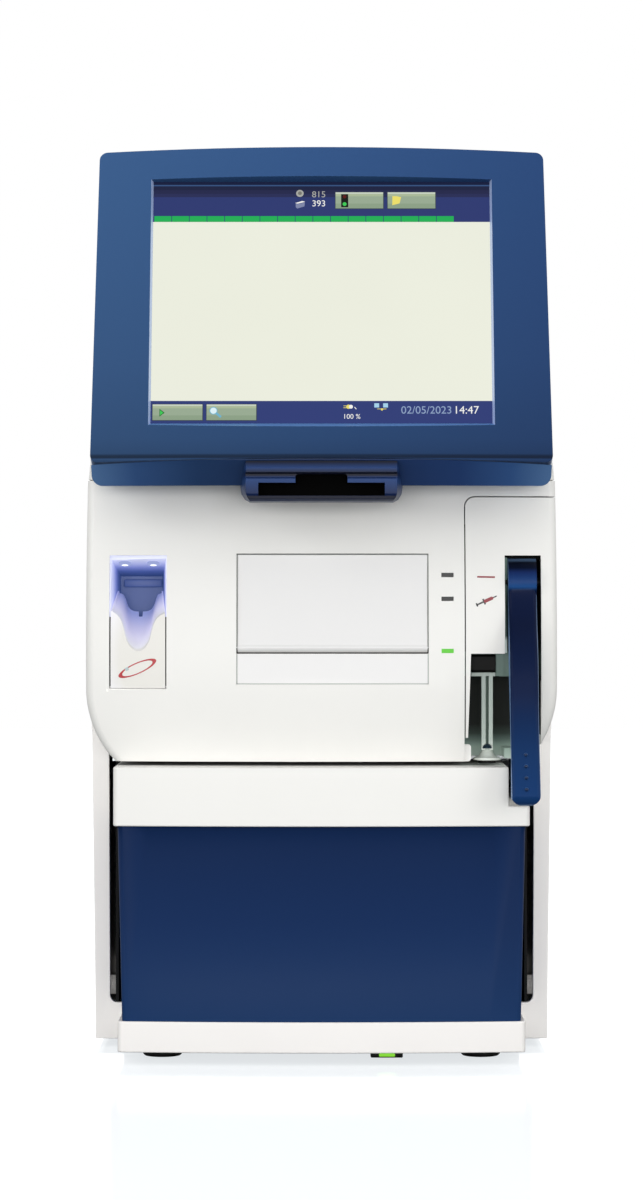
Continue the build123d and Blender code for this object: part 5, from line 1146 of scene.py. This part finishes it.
def screw_shape(tree, size):
    """A round head with a cross cut into its outer face."""
    head = add(tree, "GeometryNodeMeshCylinder",
               {"Vertices": 40, "Radius": size["Radius"], "Depth": size["Height"]})
    rise = add(tree, "ShaderNodeCombineXYZ", {"Z": calculated(tree, "MULTIPLY", size["Height"], 0.6)})
    for first, second in (("Slot length", "Slot width"), ("Slot width", "Slot length")):
        slot = block(tree, size[first], size[second], size["Height"])
        slot = add(tree, "GeometryNodeTransform", {"Geometry": slot, "Translation": rise.outputs[0]})
        head = add(tree, "GeometryNodeMeshBoolean", {"Mesh 1": head.outputs[0], "Mesh 2": slot.outputs[0]},
                   operation="DIFFERENCE")
    return on_points(tree, size["Geometry"], head.outputs["Mesh"], (math.radians(-90), SCREW_TURN, 0))


screws = grown("rear_screws", places_mesh("screw_places", screw_places), SCREW, screw_shape, ground_steel,
               "housing")
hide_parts("housing_screws")
print("screws:", len(screw_places))

# %% Ribs on the printer's lid
RIBS = {"Length": 46 * MM, "Width": 1.2 * MM, "Height": 0.8 * MM}
RIB_COUNT, RIB_PITCH, RIB_FROM_FRONT, RIB_LIFT = 5, 3.2 * MM, 7 * MM, 0.1 * MM
LID_PLATE = 2.5 * MM
lid_low = Vector(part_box("printer_lid")[0])


def rib_shape(tree, size):
    """A low bar at every place."""
    return on_points(tree, size["Geometry"], block(tree, size["Length"], size["Width"], size["Height"]))


rib_places = [(0, lid_low.y + RIB_FROM_FRONT + i * RIB_PITCH, lid_low.z + LID_PLATE + RIB_LIFT)
              for i in range(RIB_COUNT)]
grown("lid_ribs", places_mesh("rib_places", rib_places), RIBS, rib_shape, grey_abs, "lid")
print("ribs:", RIB_COUNT)


# %% A bar with rounded edges
def rounded_bar(name, corner_low, corner_high, radius, material):
    """Bar on the housing between two corners in millimetres, with rounded edges."""
    shape = bmesh.new()
    bmesh.ops.create_cube(shape, size=1.0)
    middle = [(a + b) / 2 * MM for a, b in zip(corner_low, corner_high)]
    sizes = [(b - a) * MM for a, b in zip(corner_low, corner_high)]
    shape.transform(Matrix.Translation(middle) @ Matrix.Diagonal((*sizes, 1)))
    bmesh.ops.bevel(shape, geom=shape.edges, offset=radius * MM, segments=3, affect="EDGES", profile=0.5)
    for face in shape.faces:
        face.smooth = True
    kept_shape(name, shape, material, "housing")


# %% Bars on the housing
# Painted light and shade: the cheek's edge is painted light near its foot, dark in the middle and greyer at
# its top, with a glow of the same colours.
CHEEK_LIGHT_STOPS = [(0.0, "#C2CFCB"), (0.13, "#B4C2BE"), (0.18, "#40524F"), (0.5, "#22302F"), (0.75, "#4B5F5A"),
               (1.0, "#6C807A")]
cheek_painted_light = shaded_along("grey_green_abs_cheek_painted_light", "Z", 205, 254, CHEEK_LIGHT_STOPS, 0.5, 0.4,
                         Specular_IOR_Level=0.15)
WEB_FRONT, WEB_BACK = -87.6, -80.0
cheek_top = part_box("inlet_bracket")[1][2] / MM - 1.5
BARS = {
    # name: two opposite corners and the radius of the edges in millimetres, finish
    "sill_lamp_holder": ((24.5, -114.0, 3.6), (40.6, -106.0, 6.2), 0.6, black_abs),
    "sill_lamp": ((28.7, -114.6, 4.2), (36.7, -112.0, 5.8), 0.5, sill_green),
    "recess_ledge": ((-101.5, -57.5, 238.6), (-82.0, -54.6, 242.6), 0.5, recess_painted_light),
    "bracket_web": ((90.0, WEB_FRONT, 193.2), (96.4, WEB_BACK, 204.8), 0.5, bracket_painted_shade),
    "bracket_cheek_edge": ((92.2, WEB_FRONT, 205.2), (94.0, WEB_BACK, cheek_top), 0.3, cheek_painted_light),
    # A black sheet on the slot's right wall is painted shade.
    "slot_painted_shade_sheet": ((110.5, -90.5, 164), (110.78, -62, 252.5), 0.05, black_abs),
}
for name, (corner_low, corner_high, radius, material) in BARS.items():
    rounded_bar(name, corner_low, corner_high, radius, material)
print("bars on the housing:", len(BARS))

# %% [markdown]
# ## Door, strip and their seams
# The door and the strip below it lie in one shallow recess of the cover. A real seam isn't black: light
# falls in from the front and comes back from its white walls. Narrow grey slabs of painted shade therefore
# lie in the seams, a little behind the door's face, darker in the top seam as painted shadow, and the strip
# gets a thin plate of the door's plastic with a grey line of painted shade round it.


# %% A helper for thin slabs
def slab(name, outlines, depth, material):
    """Thin piece on the housing: each outline of four points is pushed back by a depth in millimetres."""
    shape = bmesh.new()
    back = Vector((0, depth * MM, 0))
    for outline in outlines:
        front = [shape.verts.new(point) for point in outline]
        rear = [shape.verts.new(Vector(point) + back) for point in outline]
        shape.faces.new(front)
        shape.faces.new(rear[::-1])
        for k in range(4):
            shape.faces.new([front[k], rear[k], rear[(k + 1) % 4], front[(k + 1) % 4]])
    bmesh.ops.recalc_face_normals(shape, faces=shape.faces)
    kept_shape(name, shape, material, "housing")


def upright(x0, x1, z0, z1, y):
    """Corners of an upright rectangle given in millimetres, at a depth in metres."""
    return [Vector((x * MM, y, z * MM)) for x, z in rectangle(x0, x1, z0, z1)]


# %% Strip below the door
low, high = (Vector(corner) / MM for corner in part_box("cassette_door"))
STRIP_HEIGHT, STRIP_GAP, SEAM = 16.0, 0.8, 0.55
# Painted shade in the seams: light grey, and darker grey as painted shadow in the top seam.
seam_painted_shade = finish("white_abs_seam_painted_shade", "#B4B8B4", 0.7, Specular_IOR_Level=0.1)
seam_painted_shadow = finish("white_abs_deep_seam_painted_shadow", "#858A87", 0.7, Specular_IOR_Level=0.1)
strip_low, strip_high = low.z - STRIP_HEIGHT, low.z - STRIP_GAP
strip_middle = ((low.x + high.x) / 2, strip_low + STRIP_HEIGHT / 2)
strip_y = dropped_on("front_cover", 0.12)(*strip_middle).y
line_y = dropped_on("front_cover", 0.06)(*strip_middle).y
slab("door_strip", [upright(low.x, high.x, strip_low + SEAM, strip_high, strip_y)], 0.05, door_abs)
slab("strip_seams", [
    upright(low.x - SEAM, high.x + SEAM, strip_low, strip_low + SEAM, line_y),
    upright(low.x - SEAM, low.x, strip_low, strip_high, line_y),
    upright(high.x, high.x + SEAM, strip_low, strip_high, line_y),
], 0.03, seam_painted_shade)
print("strip:", round(high.x - low.x), "mm wide")

# %% Seams round the door
SEAM_DEPTH, CLEAR, SEAM_THICKNESS, HINGE_HEIGHT = 0.6, 0.12, 1.2, 2.5
on_door = dropped_on("cassette_door", -SEAM_DEPTH)
foot, head = on_door(0, low.z + 6), on_door(0, high.z - 1)
slope = (head.y - foot.y) / (head.z - foot.z)


def in_door_plane(x0, x1, z0, z1):
    """Corners of a rectangle that lies a little behind the door's sloping face."""
    return [Vector((x * MM, foot.y + slope * (z * MM - foot.z), z * MM))
            for x, z in rectangle(x0, x1, z0, z1)]


slab("door_side_seam_slabs", [
    in_door_plane(low.x - SEAM, low.x - CLEAR, low.z + HINGE_HEIGHT, high.z),
    in_door_plane(high.x + CLEAR, high.x + SEAM, low.z + HINGE_HEIGHT, high.z),
], SEAM_THICKNESS, seam_painted_shade)
slab("door_seam_top", [in_door_plane(low.x - SEAM, high.x + SEAM, high.z + CLEAR, high.z + SEAM)],
     SEAM_THICKNESS, seam_painted_shadow)
print("seams round the door are in")

# %% Painted light below the mixer's cradle and painted shade in the reader's slot
MIXER_LEFT, MIXER_RIGHT, MIXER_FOOT, SILL_HEIGHT = -108.3, -76.7, 185.9, 1.4
SILL_Y, SLOT_SHADE_Y = -96.2 * MM, -134 * MM
# Painted light: a pale slab that glows a little stands in the dark gap below the cradle.
sill_painted_light = finish("white_abs_painted_light_below_the_cradle", "#F2F1EC", 0.5, Emission_Color=colour("#F2F1EC"),
                  Emission_Strength=0.3)
slab("mixer_gap_painted_light", [upright(MIXER_LEFT, MIXER_RIGHT, MIXER_FOOT, MIXER_FOOT + SILL_HEIGHT, SILL_Y)], 1.0,
     sill_painted_light)
# A black sheet in the reader's slot is painted shade.
slab("scan_slot_painted_shade", [
    upright(-30.9, 30.9, 283.3, 289.4, SLOT_SHADE_Y),
    upright(-12.6, 12.6, 289.4, 293.7, SLOT_SHADE_Y),
], 1.0, slot_shade_black)
print("sill and window are in")

# %% The probe's seal
SEAL_RISE, SEAL_FROM_FRONT, SEAL_RADII = 6.1, 1.6, (2.35, 4.6, 2.3)
low, high = (Vector(corner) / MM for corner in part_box("arm_gasket"))
seal_middle = Vector(((low.x + high.x) / 2, low.y + SEAL_FROM_FRONT, high.z + SEAL_RISE)) * MM

# Half an oval ball with a flat foot.
shape = bmesh.new()
bmesh.ops.create_uvsphere(shape, u_segments=32, v_segments=20, radius=1.0)
shape.transform(Matrix.Translation(seal_middle) @ Matrix.Diagonal((*[r * MM for r in SEAL_RADII], 1)))
bmesh.ops.bisect_plane(shape, geom=everything(shape), plane_co=seal_middle, plane_no=(0, 0, 1),
                       clear_inner=True)
bmesh.ops.holes_fill(shape, edges=[edge for edge in shape.edges if edge.is_boundary], sides=0)
for face in shape.faces:
    face.smooth = len(face.verts) < 5
kept_shape("probe_seal", shape, seal_blue, "inlet_arm")
